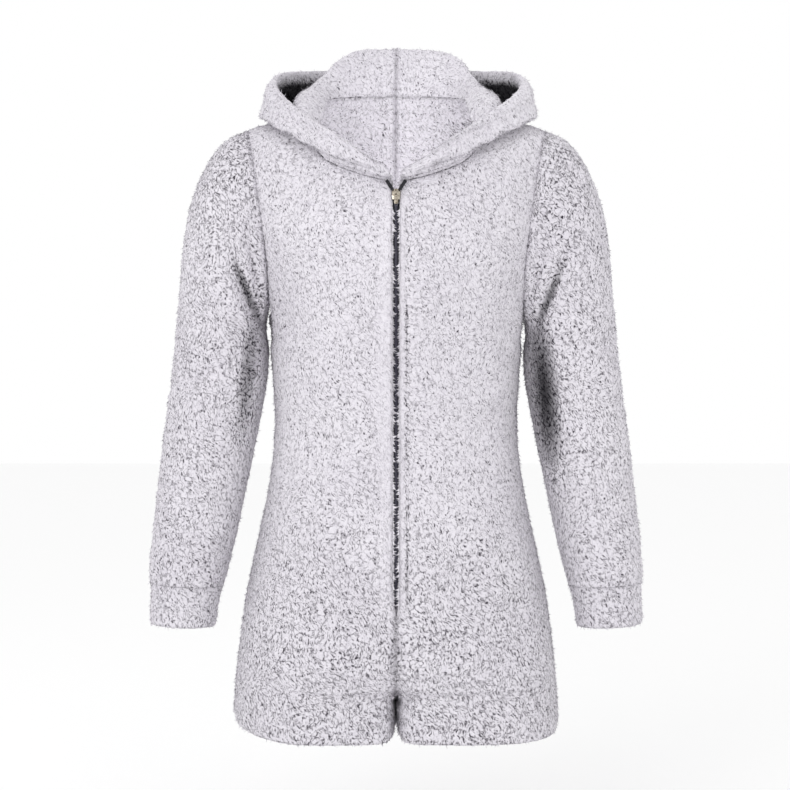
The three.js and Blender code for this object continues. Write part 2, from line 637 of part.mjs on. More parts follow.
// Zip tape, laid on the inside of the front from the front's own points
function tapeGrids(front, rows) {
  const outer = [];
  const inner = [];
  rows.forEach((i) => {
    const start = front.inner[i][0];
    const toward = front.inner[i][1].clone().sub(start).divideScalar(front.inner[i][1].x - start.x);
    const z = start.z;
    const spread = THREE.MathUtils.smoothstep(z, TAPE_PARTS_Z, FRONT_CHEST_ROWS.at(-1).centre);
    const near = THREE.MathUtils.lerp(SEAM_GAP, ZIP_END_REACH, spread);
    const place = (x, depth) => start.clone().addScaledVector(toward, x - start.x)
      .addScaledVector(front.normals[i][0], -depth);
    outer.push([near, TAPE_WIDTH].map((x) => place(x, SEAM_GAP)));
    inner.push([near, TAPE_WIDTH].map((x) => place(x, SEAM_GAP + TAPE_DEPTH)));
  });
  return { outer, inner };
}

function chainGrids(front, rows, topZ) {
  const line = rows.map((i) => ({ face: front.outer[i][0].clone(), normal: front.normals[i][0] }));
  const above = line.at(-1);
  const below = line.at(-2);
  const share = (topZ - below.face.z) / (above.face.z - below.face.z);
  above.face.lerpVectors(below.face, above.face, share);
  const sides = [-CHAIN_HALF, CHAIN_HALF];
  const grid = (depth) => line.map(({ face, normal }) => sides.map((x) => (
    face.clone().setX(x).addScaledVector(normal, -depth)
  )));
  return { outer: grid(WALL - CHAIN_DEPTH), inner: grid(WALL) };
}

// A geometry as a solid for joining and cutting, and back
function solid(geometry) {
  const bare = geometry.clone();
  bare.deleteAttribute('normal');
  bare.deleteAttribute('uv');
  const merged = mergeVertices(bare, 1e-4);
  const mesh = new wasm.Mesh({
    numProp: 3,
    vertProperties: new Float32Array(merged.getAttribute('position').array),
    triVerts: new Uint32Array(merged.getIndex().array),
  });
  return new wasm.Manifold(mesh);
}

function geometryOf(manifold) {
  const mesh = manifold.getMesh();
  const geometry = new THREE.BufferGeometry();
  geometry.setAttribute('position', new THREE.BufferAttribute(mesh.vertProperties, 3));
  geometry.setIndex(new THREE.BufferAttribute(mesh.triVerts, 1));
  geometry.computeVertexNormals();
  return geometry;
}

function block(width, depth, height, x, y, z) {
  return new THREE.BoxGeometry(width, depth, height).translate(x, y, z);
}

// Slider body in its own frame: X across, Y into the cloth, Z up the zip
function sliderGeometry() {
  const plate = new THREE.Shape([
    new THREE.Vector2(-SLIDER.tail / 2, -SLIDER.height / 2),
    new THREE.Vector2(SLIDER.tail / 2, -SLIDER.height / 2),
    new THREE.Vector2(SLIDER.width / 2, SLIDER.height * 0.2),
    new THREE.Vector2(SLIDER.width * 0.38, SLIDER.height / 2),
    new THREE.Vector2(-SLIDER.width * 0.38, SLIDER.height / 2),
    new THREE.Vector2(-SLIDER.width / 2, SLIDER.height * 0.2),
  ]);
  const flat = { depth: SLIDER.plate, bevelEnabled: false };
  const standing = (shape, options) => new THREE.ExtrudeGeometry(shape, options).rotateX(Math.PI / 2);
  const frontPlate = standing(plate, flat).translate(0, -SEAM_GAP, 0);
  const backPlate = standing(plate, flat).translate(0, SLIDER.backFace + SLIDER.plate, 0);
  const bridgeDepth = SLIDER.backFace + SEAM_GAP + SLIDER.plate;
  const bridge = block(
    SLIDER.bridge, bridgeDepth, SLIDER.height * 0.3,
    0, SLIDER.backFace + SLIDER.plate / 2 - bridgeDepth / 2, SLIDER.height * 0.33,
  );
  const flangeDepth = SLIDER.flange + SEAM_GAP + SLIDER.plate / 2;
  const flanges = [-1, 1].map((side) => block(
    SLIDER.flangeWidth, flangeDepth, SLIDER.height * 0.5,
    side * (CHAIN_HALF + SEAM_GAP + SLIDER.flangeWidth / 2),
    SLIDER.flange - flangeDepth / 2, -SLIDER.height * 0.2,
  ));
  const arch = new THREE.Shape();
  arch.moveTo(-BAIL.reach, 0);
  arch.absellipse(0, 0, BAIL.reach, BAIL.rise + BAIL.wire, Math.PI, 0, true);
  arch.lineTo(BAIL.reach - BAIL.wire, 0);
  arch.absellipse(0, 0, BAIL.reach - BAIL.wire, BAIL.rise, 0, Math.PI, false);
  const bail = new THREE.ExtrudeGeometry(arch, { depth: BAIL.width, bevelEnabled: false, curveSegments: 10 })
    .translate(0, 0, -BAIL.width / 2)
    .rotateY(Math.PI / 2)
    .rotateX(Math.PI / 2)
    .translate(0, -SEAM_GAP - SLIDER.plate + BAIL.sunk, 0);
  return geometryOf([backPlate, bridge, ...flanges, bail].reduce(
    (whole, piece) => whole.add(solid(piece)), solid(frontPlate),
  ));
}

// Pull tab hanging down from its bar, which passes under the bail
function pullGeometry() {
  const half = PULL.width / 2;
  const top = PULL.bar / 2;
  const end = top - PULL.length;
  const outline = new THREE.Shape();
  outline.moveTo(-half * 0.8, top);
  outline.lineTo(half * 0.8, top);
  outline.lineTo(half * 0.8, -PULL.hole / 2);
  outline.lineTo(half, end + half);
  outline.absarc(0, end + half, half, 0, Math.PI, true);
  outline.lineTo(-half * 0.8, -PULL.hole / 2);
  const hole = new THREE.Path();
  hole.moveTo(-PULL.hole / 2, -PULL.bar / 2);
  hole.lineTo(-PULL.hole / 2, -PULL.bar / 2 - PULL.holeLength);
  hole.lineTo(PULL.hole / 2, -PULL.bar / 2 - PULL.holeLength);
  hole.lineTo(PULL.hole / 2, -PULL.bar / 2);
  outline.holes.push(hole);
  return new THREE.ExtrudeGeometry(outline, { depth: PULL.depth, bevelEnabled: false, curveSegments: 8 })
    .rotateX(Math.PI / 2)
    .translate(0, PULL.depth / 2, 0);
}

const mirrored = (geometry) => {
  const copy = geometry.clone();
  copy.scale(-1, 1, 1);
  const index = copy.getIndex();
  index.array.reverse();
  index.needsUpdate = true;
  copy.computeVertexNormals();
  return copy;
};

const fleece = new THREE.MeshStandardMaterial({ color: 0xd6d1d9, roughness: 0.95, metalness: 0 });
const zipCloth = new THREE.MeshStandardMaterial({ color: 0x16151b, roughness: 0.8, metalness: 0 });
const coil = new THREE.MeshStandardMaterial({ color: 0x121117, roughness: 0.45, metalness: 0 });
const nickel = new THREE.MeshStandardMaterial({ color: 0xb9b6ae, roughness: 0.3, metalness: 1 });

const onesie = new THREE.Group();

function add(name, geometry, material) {
  const mesh = new THREE.Mesh(geometry, material);
  mesh.name = name;
  onesie.add(mesh);
  return mesh;
}

// A right-hand piece and its mirror image
function addPair(name, geometry, material) {
  add(`${name}_right`, geometry, material);
  add(`${name}_left`, mirrored(geometry), material);
}

const front = panel(frontRows(), 'front');
const back = panel(backRows(), 'back');
const arm = sleeveGrids(front, back);

const firstArmRow = SIDE_ROWS.length - 1;
leanArmhole(front, arm.rims, front.outer.slice(firstArmRow).map((_, k) => (
  { row: firstArmRow + k, station: k }
)));
const backTop = back.outer.length - 1;
leanArmhole(back, arm.rims, back.outer.slice(firstArmRow).map((_, k) => ({
  row: backTop - k,
  station: k === back.outer.length - 1 - firstArmRow ? 0 : arm.frontSpan + k,
})));

const hood = hoodGrids(neckSeam(front, back));

const frontEdges = ['inner', 'outer', 'top'];
const backEdges = ['inner', 'outer', 'top'];
addPair('front', wall(
  seamAllowance(front.outer, frontEdges), seamAllowance(front.inner, frontEdges),
), fleece);
addPair('back', wall(
  seamAllowance(back.outer, backEdges), seamAllowance(back.inner, backEdges),
), fleece);

const sleeveEdges = ['bottom', 'top'];
addPair('sleeve', wall(
  seamAllowance(arm.outer, sleeveEdges), seamAllowance(arm.inner, sleeveEdges), true,
), fleece);
const cuff = cuffGrids(arm.turns);
cuff.inner[0].forEach((point, j) => point.copy(arm.inner.at(-1)[j]));
addPair('cuff', wall(
  seamAllowance(cuff.outer, ['bottom']), seamAllowance(cuff.inner, ['bottom']), true,
), fleece);

addPair('hood', wall(
  seamAllowance(hood.outer, ['bottom', 'inner']), seamAllowance(hood.inner, ['bottom', 'inner']),
), fleece);

const zipRows = [];
for (let i = SIDE_ROWS.indexOf(ZIP_END_Z); i < SIDE_ROWS.length + FRONT_CHEST_ROWS.length; i += 1) {
  zipRows.push(i);
}
const tape = tapeGrids(front, zipRows);
addPair('zip_tape', wall(tape.outer, tape.inner), zipCloth);
const chain = chainGrids(front, zipRows, CHAIN_TOP_Z);
add('zip_chain', wall(chain.outer, chain.inner), coil);

// The slider stands on the straight stretch of the front between the two top rows
const [low, high] = zipRows.slice(-2).map((i) => front.outer[i][0]);
const zipSlope = Math.atan2(high.y - low.y, high.z - low.z);
const seat = new THREE.Group();
seat.position.lerpVectors(low, high, (SLIDER.z - low.z) / (high.z - low.z)).setX(0);
seat.rotation.x = -zipSlope;
onesie.add(seat);

const slider = new THREE.Mesh(sliderGeometry(), nickel);
slider.name = 'zip_slider';
const pull = new THREE.Mesh(pullGeometry(), nickel);
pull.name = 'zip_pull_tab';
pull.position.y = -SEAM_GAP - SLIDER.plate - PULL.lift;
seat.add(slider, pull);

const zipEnd = new THREE.BoxGeometry(ZIP_END.width, ZIP_END.depth, ZIP_END.length)
  .rotateY(THREE.MathUtils.degToRad(ZIP_END.lean))
  .translate(ZIP_END.x, low.y + (high.y - low.y) * 0.6 - ZIP_END.clear - ZIP_END.depth / 2, ZIP_END.z);
addPair('zip_end', zipEnd, zipCloth);

export default onesie;
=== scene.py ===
"""Short hooded onesie in curly fleece: fleece panels, hood, zip and studio around its frame."""

import logging
import math
from collections.abc import Iterator
from contextlib import contextmanager
from dataclasses import dataclass, field
from enum import Enum

import bmesh
import bpy
import numpy as np
from mathutils import Matrix, Vector
from mathutils.bvhtree import BVHTree
from mathutils.kdtree import KDTree


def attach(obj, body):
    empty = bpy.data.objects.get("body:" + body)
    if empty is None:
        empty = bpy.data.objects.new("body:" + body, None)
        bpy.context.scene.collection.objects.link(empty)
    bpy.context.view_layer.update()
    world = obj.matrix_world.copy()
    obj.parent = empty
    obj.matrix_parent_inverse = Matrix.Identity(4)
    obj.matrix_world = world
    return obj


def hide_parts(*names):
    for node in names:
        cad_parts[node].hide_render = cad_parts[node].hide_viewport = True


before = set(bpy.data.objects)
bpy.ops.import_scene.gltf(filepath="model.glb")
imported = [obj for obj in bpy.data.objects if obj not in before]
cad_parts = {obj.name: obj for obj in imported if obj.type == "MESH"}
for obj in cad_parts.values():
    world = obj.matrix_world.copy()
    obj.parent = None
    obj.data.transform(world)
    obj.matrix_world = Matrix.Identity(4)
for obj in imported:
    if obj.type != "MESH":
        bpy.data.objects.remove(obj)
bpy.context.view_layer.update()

LOG = logging.getLogger("onesie")
GARMENT = "garment"
PULL_BODY = "pull_tab"
SHARP = math.radians(50)
THIGH_BAND = (-0.712, -0.585)
Socket = bpy.types.NodeSocket


class Face(Enum):
    """Side of the garment that a crease lies on."""

    FRONT = "front"
    BACK = "back"


class Side(Enum):
    """Half of the garment in a front view, with the sign of its X."""

    RIGHT = 1
    LEFT = -1

    @property
    def word(self) -> str:
        """The side's word in node names."""
        return self.name.lower()


def linear(hex_code: str) -> tuple[float, float, float, float]:
    """Turn an sRGB hex colour into linear RGBA.

    Args:
        hex_code: Six hex digits with a leading hash.

    Returns:
        Linear red, green and blue with an alpha of one.
    """
    parts = [int(hex_code[i : i + 2], 16) / 255 for i in (1, 3, 5)]
    r, g, b = (c / 12.92 if c <= 0.04045 else ((c + 0.055) / 1.055) ** 2.4 for c in parts)
    return r, g, b, 1.0


def add_node(
    tree: bpy.types.NodeTree, kind: str, inputs: dict | None = None, **settings
) -> bpy.types.Node:
    """Add a node with its settings, values and links.

    Args:
        tree: Shader or geometry tree to add to.
        kind: Blender's node type.
        inputs: Socket name or index to a value, or to an output socket that links to it.
        **settings: Properties set on the node before its sockets are filled.

    Returns:
        The new node.
    """
    node = tree.nodes.new(kind)
    for key, value in settings.items():
        setattr(node, key, value)
    for key, value in (inputs or {}).items():
        if isinstance(value, Socket):
            tree.links.new(value, node.inputs[key])
        else:
            node.inputs[key].default_value = value
    return node


@dataclass(frozen=True)
class Wiring:
    """Short ways to add common nodes to one tree. Most return the new node's result."""

    tree: bpy.types.NodeTree

    def add(self, kind: str, inputs: dict | None = None, **settings) -> Socket:
        """Add any node, for its first output."""
        return add_node(self.tree, kind, inputs, **settings).outputs[0]

    def maths(self, operation: str, *values: float | Socket, **settings) -> Socket:
        """Work on numbers."""
        return self.add("ShaderNodeMath", dict(enumerate(values)), operation=operation, **settings)

    def vector(self, operation: str, *values: tuple | Socket) -> Socket:
        """Work on vectors."""
        return self.add("ShaderNodeVectorMath", dict(enumerate(values)), operation=operation)

    def scaled(self, vector: Socket, size: Socket) -> Socket:
        """Make a vector longer or shorter."""
        return self.add("ShaderNodeVectorMath", {0: vector, "Scale": size}, operation="SCALE")

    def noise(self, place: Socket, scale: float, detail: float, output: str = "Fac") -> Socket:
        """Add a noise texture."""
        inputs = {"Vector": place, "Scale": scale, "Detail": detail}
        return add_node(self.tree, "ShaderNodeTexNoise", inputs).outputs[output]

    def mix(self, share: Socket, first: tuple | Socket, second: tuple | Socket) -> Socket:
        """Mix two colours."""
        inputs = {0: share, 6: first, 7: second}
        return add_node(self.tree, "ShaderNodeMix", inputs, data_type="RGBA").outputs[2]

    def bump(self, height: Socket, strength: float, distance: float) -> Socket:
        """Turn a height into a normal."""
        inputs = {"Height": height, "Strength": strength, "Distance": distance}
        return self.add("ShaderNodeBump", inputs)

    def painted(self, name: str) -> Socket:
        """Read a shader's attribute."""
        return add_node(self.tree, "ShaderNodeAttribute", attribute_name=name).outputs["Fac"]

    def stored(self, name: str) -> Socket:
        """Read an attribute of the mesh in a geometry tree."""
        node = add_node(
            self.tree, "GeometryNodeInputNamedAttribute", {"Name": name}, data_type="FLOAT"
        )
        return node.outputs["Attribute"]

    def chance(self, low: float, high: float, seed: Socket) -> Socket:
        """Draw a random number for each point."""
        inputs = {2: low, 3: high, "Seed": seed}
        return add_node(self.tree, "FunctionNodeRandomValue", inputs, data_type="FLOAT").outputs[1]

    def stray(self, low: tuple, high: tuple, seed: Socket) -> Socket:
        """Draw a random vector for each point."""
        inputs = {0: low, 1: high, "Seed": seed}
        return self.add("FunctionNodeRandomValue", inputs, data_type="FLOAT_VECTOR")

    def remap(
        self, value: Socket, given: tuple = (0.0, 1.0), result: tuple = (0.0, 1.0),
        smooth: bool = False,
    ) -> Socket:
        """Map one range onto another and hold the value at both ends.

        Args:
            value: Value to map.
            given: Ends of the range it comes in.
            result: Ends of the range it leaves in.
            smooth: Whether it eases in and out.

        Returns:
            The mapped value.
        """
        inputs = {
            "Value": value, "From Min": given[0], "From Max": given[1], "To Min": result[0],
            "To Max": result[1],
        }
        kind = "SMOOTHSTEP" if smooth else "LINEAR"
        return self.add("ShaderNodeMapRange", inputs, interpolation_type=kind)

    def tufts(
        self, roots: Socket, aim: Socket, size: Socket, sides: int, width: Socket, length: Socket
    ) -> Socket:
        """Stand a pointed tuft on every root and turn them into real geometry.

        Args:
            roots: Points that they stand on.
            aim: Direction of each.
            size: Scale of each.
            sides: Sides of a tuft.
            width: Radius at its foot.
            length: Its length.

        Returns:
            The tufts' geometry.
        """
        turn = self.add("FunctionNodeAlignRotationToVector", {"Vector": aim}, axis="Z")
        cone = self.add(
            "GeometryNodeMeshCone",
            {"Vertices": sides, "Side Segments": 1, "Fill Segments": 1, "Radius Top": 0.0,
             "Radius Bottom": width, "Depth": length},
            fill_type="NGON",
        )
        standing = self.add(
            "GeometryNodeInstanceOnPoints",
            {"Points": roots, "Instance": cone, "Rotation": turn, "Scale": size},
        )
        return self.add("GeometryNodeRealizeInstances", {"Geometry": standing})

    def surface(self, inputs: dict) -> None:
        """End a material with its surface."""
        shader = self.add("ShaderNodeBsdfPrincipled", inputs)
        add_node(self.tree, "ShaderNodeOutputMaterial", {"Surface": shader})

    def finish(self, geometry: Socket, material: bpy.types.Material) -> None:
        """End a geometry tree with its material and its output."""
        dressed = self.add("GeometryNodeSetMaterial", {"Geometry": geometry, "Material": material})
        add_node(self.tree, "NodeGroupOutput", {0: dressed})


def new_material(name: str) -> tuple[bpy.types.Material, Wiring, Socket]:
    """Make an empty node material.

    Args:
        name: Material name, in a maker's words.

    Returns:
        The material, the wiring of its cleared tree, and its object coordinates.
    """
    material = bpy.data.materials.new(name)
    material.use_nodes = True
    material.node_tree.nodes.clear()
    place = add_node(material.node_tree, "ShaderNodeTexCoord").outputs["Object"]
    return material, Wiring(material.node_tree), place


def new_group(name: str, inputs: dict[str, str]) -> tuple[Wiring, dict[str, Socket]]:
    """Start a geometry node tree with named inputs.

    Args:
        name: Name of the tree.
        inputs: Name of each input to its kind of socket, beside the geometry.

    Returns:
        The tree's wiring, and its inputs by name.
    """
    tree = bpy.data.node_groups.new(name, "GeometryNodeTree")
    for word, kind in ({"Geometry": "Geometry"} | inputs).items():
        tree.interface.new_socket(word, in_out="INPUT", socket_type=f"NodeSocket{kind}")
    tree.interface.new_socket("Geometry", in_out="OUTPUT", socket_type="NodeSocketGeometry")
    sockets = add_node(tree, "NodeGroupInput").outputs
    return Wiring(tree), {socket.name: socket for socket in sockets}


@dataclass(frozen=True)
class FleeceFinish:
    """Polyester sherpa: pile knitted in, sheared and tumbled into small curly tufts.

    The curls scatter light evenly and open into short clefts that run down the pile, darkened with
    painted shade.
    """

    name: str = "sherpa fleece, knitted pile"
    pale: str = "#DFDCE2"
    mid: str = "#CDC9D1"
    # Painted shade in the clefts between the tufts.
    cleft: str = "#3F3943"
    # Near black of painted shade in deep folds and hollows.
    deep: str = "#0D0B11"
    stroke_mm: tuple[float, float] = (2.2, 6.8)
    curl_mm: tuple[float, float] = (5.2, 8.32)
    fibre_mm: float = 1.3
    lean: float = -0.4

    def bent(self, nodes: Wiring, place: Socket) -> Socket:
        """Sway the pattern over the cloth and curl it from tuft to tuft.

        Args:
            nodes: Wiring of the material.
            place: Object coordinates.

        Returns:
            The bent coordinates.
        """
        bent = place
        for scale, detail, reach in (
            (16.0, 2.0, (0.045, 0.045, 0.02)), (170.0, 1.0, (0.0048, 0.0048, 0.0048)),
        ):
            wave = nodes.noise(place, scale, detail, "Color")
            bent = nodes.vector("MULTIPLY_ADD", wave, reach, bent)
        return bent

    def cells(
        self, nodes: Wiring, place: Socket, size_mm: tuple[float, float], feature: str
    ) -> bpy.types.Node:
        """Part the pile into cells that lean the way it lies.

        Args:
            nodes: Wiring of the material.
            place: Bent coordinates.
            size_mm: Width and length of a cell.
            feature: What the texture measures.

        Returns:
            The cell texture.
        """
        width, length = (value / 1000 for value in size_mm)
        leaning = nodes.add(
            "ShaderNodeMapping",
            {"Vector": place, "Rotation": (0.0, self.lean, 0.0), "Scale": (width, width, length)},
            vector_type="TEXTURE",
        )
        inputs = {"Vector": leaning, "Scale": 1.0}
        return add_node(nodes.tree, "ShaderNodeTexVoronoi", inputs, feature=feature)

    def build(self) -> bpy.types.Material:
        """Build the material.

        Returns:
            The fleece material.
        """
        material, nodes, place = new_material(self.name)
        bent, shade = self.bent(nodes, place), nodes.painted("shade")

        # Short strokes of painted cleft shade run down the pile, longer and more of them where
        # more shade is painted.
        stroke = self.cells(nodes, bent, self.stroke_mm, "F1")
        reach = nodes.remap(shade, result=(0.42, 0.72))
        mark = nodes.remap(stroke.outputs["Distance"], (0.1, reach), (1.0, 0.0), smooth=True)
        least = nodes.remap(shade, result=(0.26, 1.0))
        draw = nodes.add("ShaderNodeSeparateColor", {0: stroke.outputs["Color"]})
        weight = nodes.remap(draw, (0.38, 0.95), (least, 1.0))

        # A net of painted shade in the gaps between the curls shows in patches.
        curls = self.cells(nodes, bent, self.curl_mm, "DISTANCE_TO_EDGE").outputs["Distance"]
        gap = nodes.remap(curls, (0.0, 0.13), (1.0, 0.0), smooth=True)
        net = nodes.remap(shade, result=(0.36, 1.15))
        patch = nodes.remap(nodes.noise(place, 230.0, 1.0), (0.4, 0.58), (0.0, net))
        line = nodes.maths("MULTIPLY", gap, patch)
        dash = nodes.maths("MULTIPLY_ADD", mark, weight, line, use_clamp=True)
        cleft = nodes.maths("MULTIPLY", dash, nodes.painted("pile"))

        # Fibres are paler and darker in turn, and painted shade turns them near black in the folds
        # and hollows.
        fibre = nodes.noise(bent, 1000 / self.fibre_mm, 2.0)
        tone = nodes.maths("MULTIPLY_ADD", nodes.noise(place, 9.0, 3.0), 0.4, fibre)
        body = nodes.mix(nodes.remap(tone, (0.5, 0.85)), linear(self.mid), linear(self.pale))
        marked = nodes.mix(cleft, body, linear(self.cleft))
        # Painted shade: the marks darken where shade is painted, and heavy painted shade turns the
        # whole surface near black.
        sunk = nodes.maths("MULTIPLY", shade, dash)
        gloom = nodes.maths("MAXIMUM", sunk, nodes.remap(shade, (0.45, 1.0), (0.0, 0.94)))
        shaded = nodes.mix(gloom, marked, linear(self.deep))

        height = nodes.maths("MULTIPLY_ADD", fibre, 0.6, curls)
        dented = nodes.maths("SUBTRACT", height, mark)
        nodes.surface({
            "Base Color": shaded, "Roughness": 0.95, "Specular IOR Level": 0.1,
            "Sheen Weight": nodes.remap(gloom, result=(0.2, 0.0)), "Sheen Roughness": 0.6,
            "Normal": nodes.bump(dented, 0.4, 0.0012),
        })
        return material


@dataclass(frozen=True)
class TapeFinish:
    """Woven polyester zip tape, dyed black: a fine twill that stays matte."""

    name: str = "zip tape, woven polyester"
    yarn: str = "#1B1922"
    gap: str = "#08070B"
    yarn_mm: float = 0.9

    def build(self) -> bpy.types.Material:
        """Build the material.

        Returns:
            The woven tape material.
        """
        material, nodes, place = new_material(self.name)
        ribs = add_node(
            nodes.tree, "ShaderNodeTexWave",
            {"Vector": place, "Scale": 1000 / self.yarn_mm / (2 * math.pi), "Distortion": 0.6},
            wave_type="BANDS", bands_direction="DIAGONAL",
        ).outputs["Fac"]
        colour = nodes.mix(ribs, linear(self.gap), linear(self.yarn))
        normal = nodes.bump(ribs, 0.5, 0.0003)
        nodes.surface({"Base Color": colour, "Roughness": 0.8, "Normal": normal})
        return material


@dataclass(frozen=True)
class CoilFinish:
    """Nylon zip coil, extruded and dyed near black: a soft shine along each loop."""

    name: str = "zip coil, extruded nylon"
    colour: str = "#24222F"
    worn: str = "#3A3748"
    streak_mm: float = 2.0

    def build(self) -> bpy.types.Material:
        """Build the material.

        Returns:
            The nylon material.
        """
        material, nodes, place = new_material(self.name)
        wear = nodes.noise(place, 1000 / self.streak_mm, 2.0)
        colour = nodes.mix(wear, linear(self.colour), linear(self.worn))
        nodes.surface({"Base Color": colour, "Roughness": 0.42, "IOR": 1.53})
        return material


@dataclass(frozen=True)
class NickelFinish:
    """Die-cast zinc, nickel plated: pale warm metal, polished, with darker brown patches at random
    as painted reflection of darker surroundings.
    """

    name: str = "zip slider, nickel plated zinc"
    colour: str = "#BDB5A8"
    # Painted reflection: dark patches in place of reflections of darker surroundings.
    dull: str = "#5E4E3C"
    patch_mm: float = 3.0

    def build(self) -> bpy.types.Material:
        """Build the material.

        Returns:
            The plated metal material.
        """
        material, nodes, place = new_material(self.name)
        mask = nodes.remap(nodes.noise(place, 1000 / self.patch_mm, 3.0), (0.45, 0.7))
        colour = nodes.mix(mask, linear(self.colour), linear(self.dull))
        rough = nodes.remap(mask, result=(0.2, 0.38))
        nodes.surface({"Base Color": colour, "Metallic": 1.0, "Roughness": rough})
        return material


@dataclass(frozen=True)
class FloorFinish:
    """Matt white paper floor."""

    name: str = "floor, matt white paper"
    colour: str = "#FAFAFA"

    def build(self) -> bpy.types.Material:
        """Build the material.

        Returns:
            The floor material.
        """
        material, nodes, place = new_material(self.name)
        tooth = nodes.noise(place, 300.0, 2.0)
        normal = nodes.add("ShaderNodeBump", {"Height": tooth, "Distance": 0.0002})
        nodes.surface({"Base Color": linear(self.colour), "Roughness": 0.9, "Normal": normal})
        return material


@dataclass
class Pile:
    """Curly pile of the fleece: tufted relief over the cloth and loose locks standing from it."""

    tuft: float = 0.0046
    relief: float = 0.0011
    lock_length: float = 0.0042
    lock_width: float = 0.0005
    lock_spacing: float = 0.0046
    lift: float = 0.35

    def tree(self, material: bpy.types.Material) -> bpy.types.NodeTree:
        """Build the pile's node tree.

        Args:
            material: Fleece material for cloth and locks.

        Returns:
            A geometry node tree with named inputs.
        """
        floats = ("Tuft", "Relief", "Lock Length", "Lock Width", "Lock Density", "Lift")
        nodes, given = new_group(
            "fleece pile", dict.fromkeys(floats, "Float") | {"Seed": "Int", "Locks": "Bool"}
        )
        seed = given["Seed"]

        cells = nodes.add(
            "ShaderNodeTexVoronoi",
            {"Vector": nodes.add("GeometryNodeInputPosition"),
             "Scale": nodes.maths("DIVIDE", 1.0, given["Tuft"]), "Smoothness": 0.35},
            voronoi_dimensions="3D", feature="SMOOTH_F1",
        )
        crown = nodes.remap(cells, (0.15, 0.75), (1.0, 0.0))
        relief = nodes.maths("MULTIPLY", crown, given["Relief"])
        eased = nodes.maths("MULTIPLY", relief, nodes.stored("pile"))
        push = nodes.scaled(nodes.add("GeometryNodeInputNormal"), eased)
        raised = nodes.add(
            "GeometryNodeSetPosition", {"Geometry": given["Geometry"], "Offset": push}
        )

        roots = add_node(
            nodes.tree, "GeometryNodeDistributePointsOnFaces",
            {"Mesh": raised, "Seed": seed,
             "Density": nodes.maths("MULTIPLY", given["Lock Density"], nodes.stored("loose"))},
            distribute_method="RANDOM",
        )
        outward = roots.outputs["Normal"]
        stray = nodes.stray((-0.85, -0.85, -1.25), (0.85, 0.85, 0.15), seed)
        flat = nodes.vector("SUBTRACT", stray, nodes.vector("PROJECT", stray, outward))
        aim = nodes.vector("ADD", flat, nodes.scaled(outward, given["Lift"]))
        locks = nodes.tufts(
            roots.outputs["Points"], aim, nodes.chance(0.55, 1.15, seed), 3, given["Lock Width"],
            given["Lock Length"],
        )
        chosen = nodes.add(
            "GeometryNodeSwitch", {"Switch": given["Locks"], "False": raised, "True": locks},
            input_type="GEOMETRY",
        )
        nodes.finish(chosen, material)
        return nodes.tree

    def grow(
        self, cloth: bpy.types.Object, tree: bpy.types.NodeTree, seed: int
    ) -> bpy.types.Object:
        """Grow the pile on a cloth piece: relief in its own mesh, and locks as a piece beside it.

        Args:
            cloth: Piece with its "pile" and "loose" attributes.
            tree: The pile's node tree.
            seed: Seed of the locks.

        Returns:
            The locks.
        """
        values = {
            "Tuft": self.tuft, "Relief": self.relief, "Lock Length": self.lock_length,
            "Lock Width": self.lock_width, "Lock Density": 1 / self.lock_spacing**2,
            "Lift": self.lift, "Seed": seed,
        }
        locks = new_object(cloth.name.replace("fleece", "locks"), cloth.data.copy())
        for obj in (cloth, locks):
            put_tree(obj, tree, values | {"Locks": obj is locks})
            bake_modifiers(obj)
        return locks


def put_tree(obj: bpy.types.Object, tree: bpy.types.NodeTree, values: dict) -> None:
    """Put a node tree on an object.

    Args:
        obj: Object that takes it.
        tree: Geometry node tree.
        values: Named input to its value.
    """
    modifier = obj.modifiers.new(tree.name, "NODES")
    modifier.node_group = tree
    for item in tree.interface.items_tree:
        if item.in_out == "INPUT" and item.name in values:
            modifier[item.identifier] = values[item.name]


def evaluated(obj: bpy.types.Object) -> bpy.types.Mesh:
    """Make a mesh of an object as its modifiers leave it.

    Args:
        obj: Mesh or curve object.

    Returns:
        The new mesh.
    """
    bpy.context.view_layer.update()
    graph = bpy.context.evaluated_depsgraph_get()
    return bpy.data.meshes.new_from_object(obj.evaluated_get(graph))


def new_object(name: str, data: bpy.types.ID) -> bpy.types.Object:
    """Make an object at the origin and put it in the scene.

    Args:
        name: Name of the object.
        data: Its mesh, curve, light or camera.

    Returns:
        The new object.
    """
    obj = bpy.data.objects.new(name, data)
    bpy.context.scene.collection.objects.link(obj)
    return obj


@contextmanager
def editing(mesh: bpy.types.Mesh) -> Iterator[bmesh.types.BMesh]:
    """Open a mesh for editing and write it back at the end.

    Args:
        mesh: Mesh to edit.

    Yields:
        The mesh, open.
    """
    work = bmesh.new()
    work.from_mesh(mesh)
    yield work
    work.to_mesh(mesh)
    work.free()


def bake_modifiers(obj: bpy.types.Object) -> None:
    """Replace an object's mesh with its evaluated mesh and drop its modifiers.

    Args:
        obj: Object whose modifiers are applied.
    """
    mesh, old = evaluated(obj), obj.data
    obj.modifiers.clear()
    obj.data = mesh
    bpy.data.meshes.remove(old)


def grown_along(
    line: np.ndarray, name: str, tree: bpy.types.NodeTree, values: dict
) -> bpy.types.Object:
    """Grow a piece from a node tree along a line.

    Args:
        line: Points of the line, in metres.
        name: Name of the new piece.
        tree: Geometry node tree.
        values: Named input to its value.

    Returns:
        The new piece, at the origin.
    """
    curve = bpy.data.curves.new(f"{name} line", "CURVE")
    curve.dimensions = "3D"
    spline = curve.splines.new("POLY")
    spline.points.add(len(line) - 1)
    for point, at in zip(spline.points, line):
        point.co = (*at, 1)
    guide = new_object(f"{name}_line", curve)
    put_tree(guide, tree, values)
    piece = new_object(name, evaluated(guide))
    bpy.data.objects.remove(guide)
    return piece


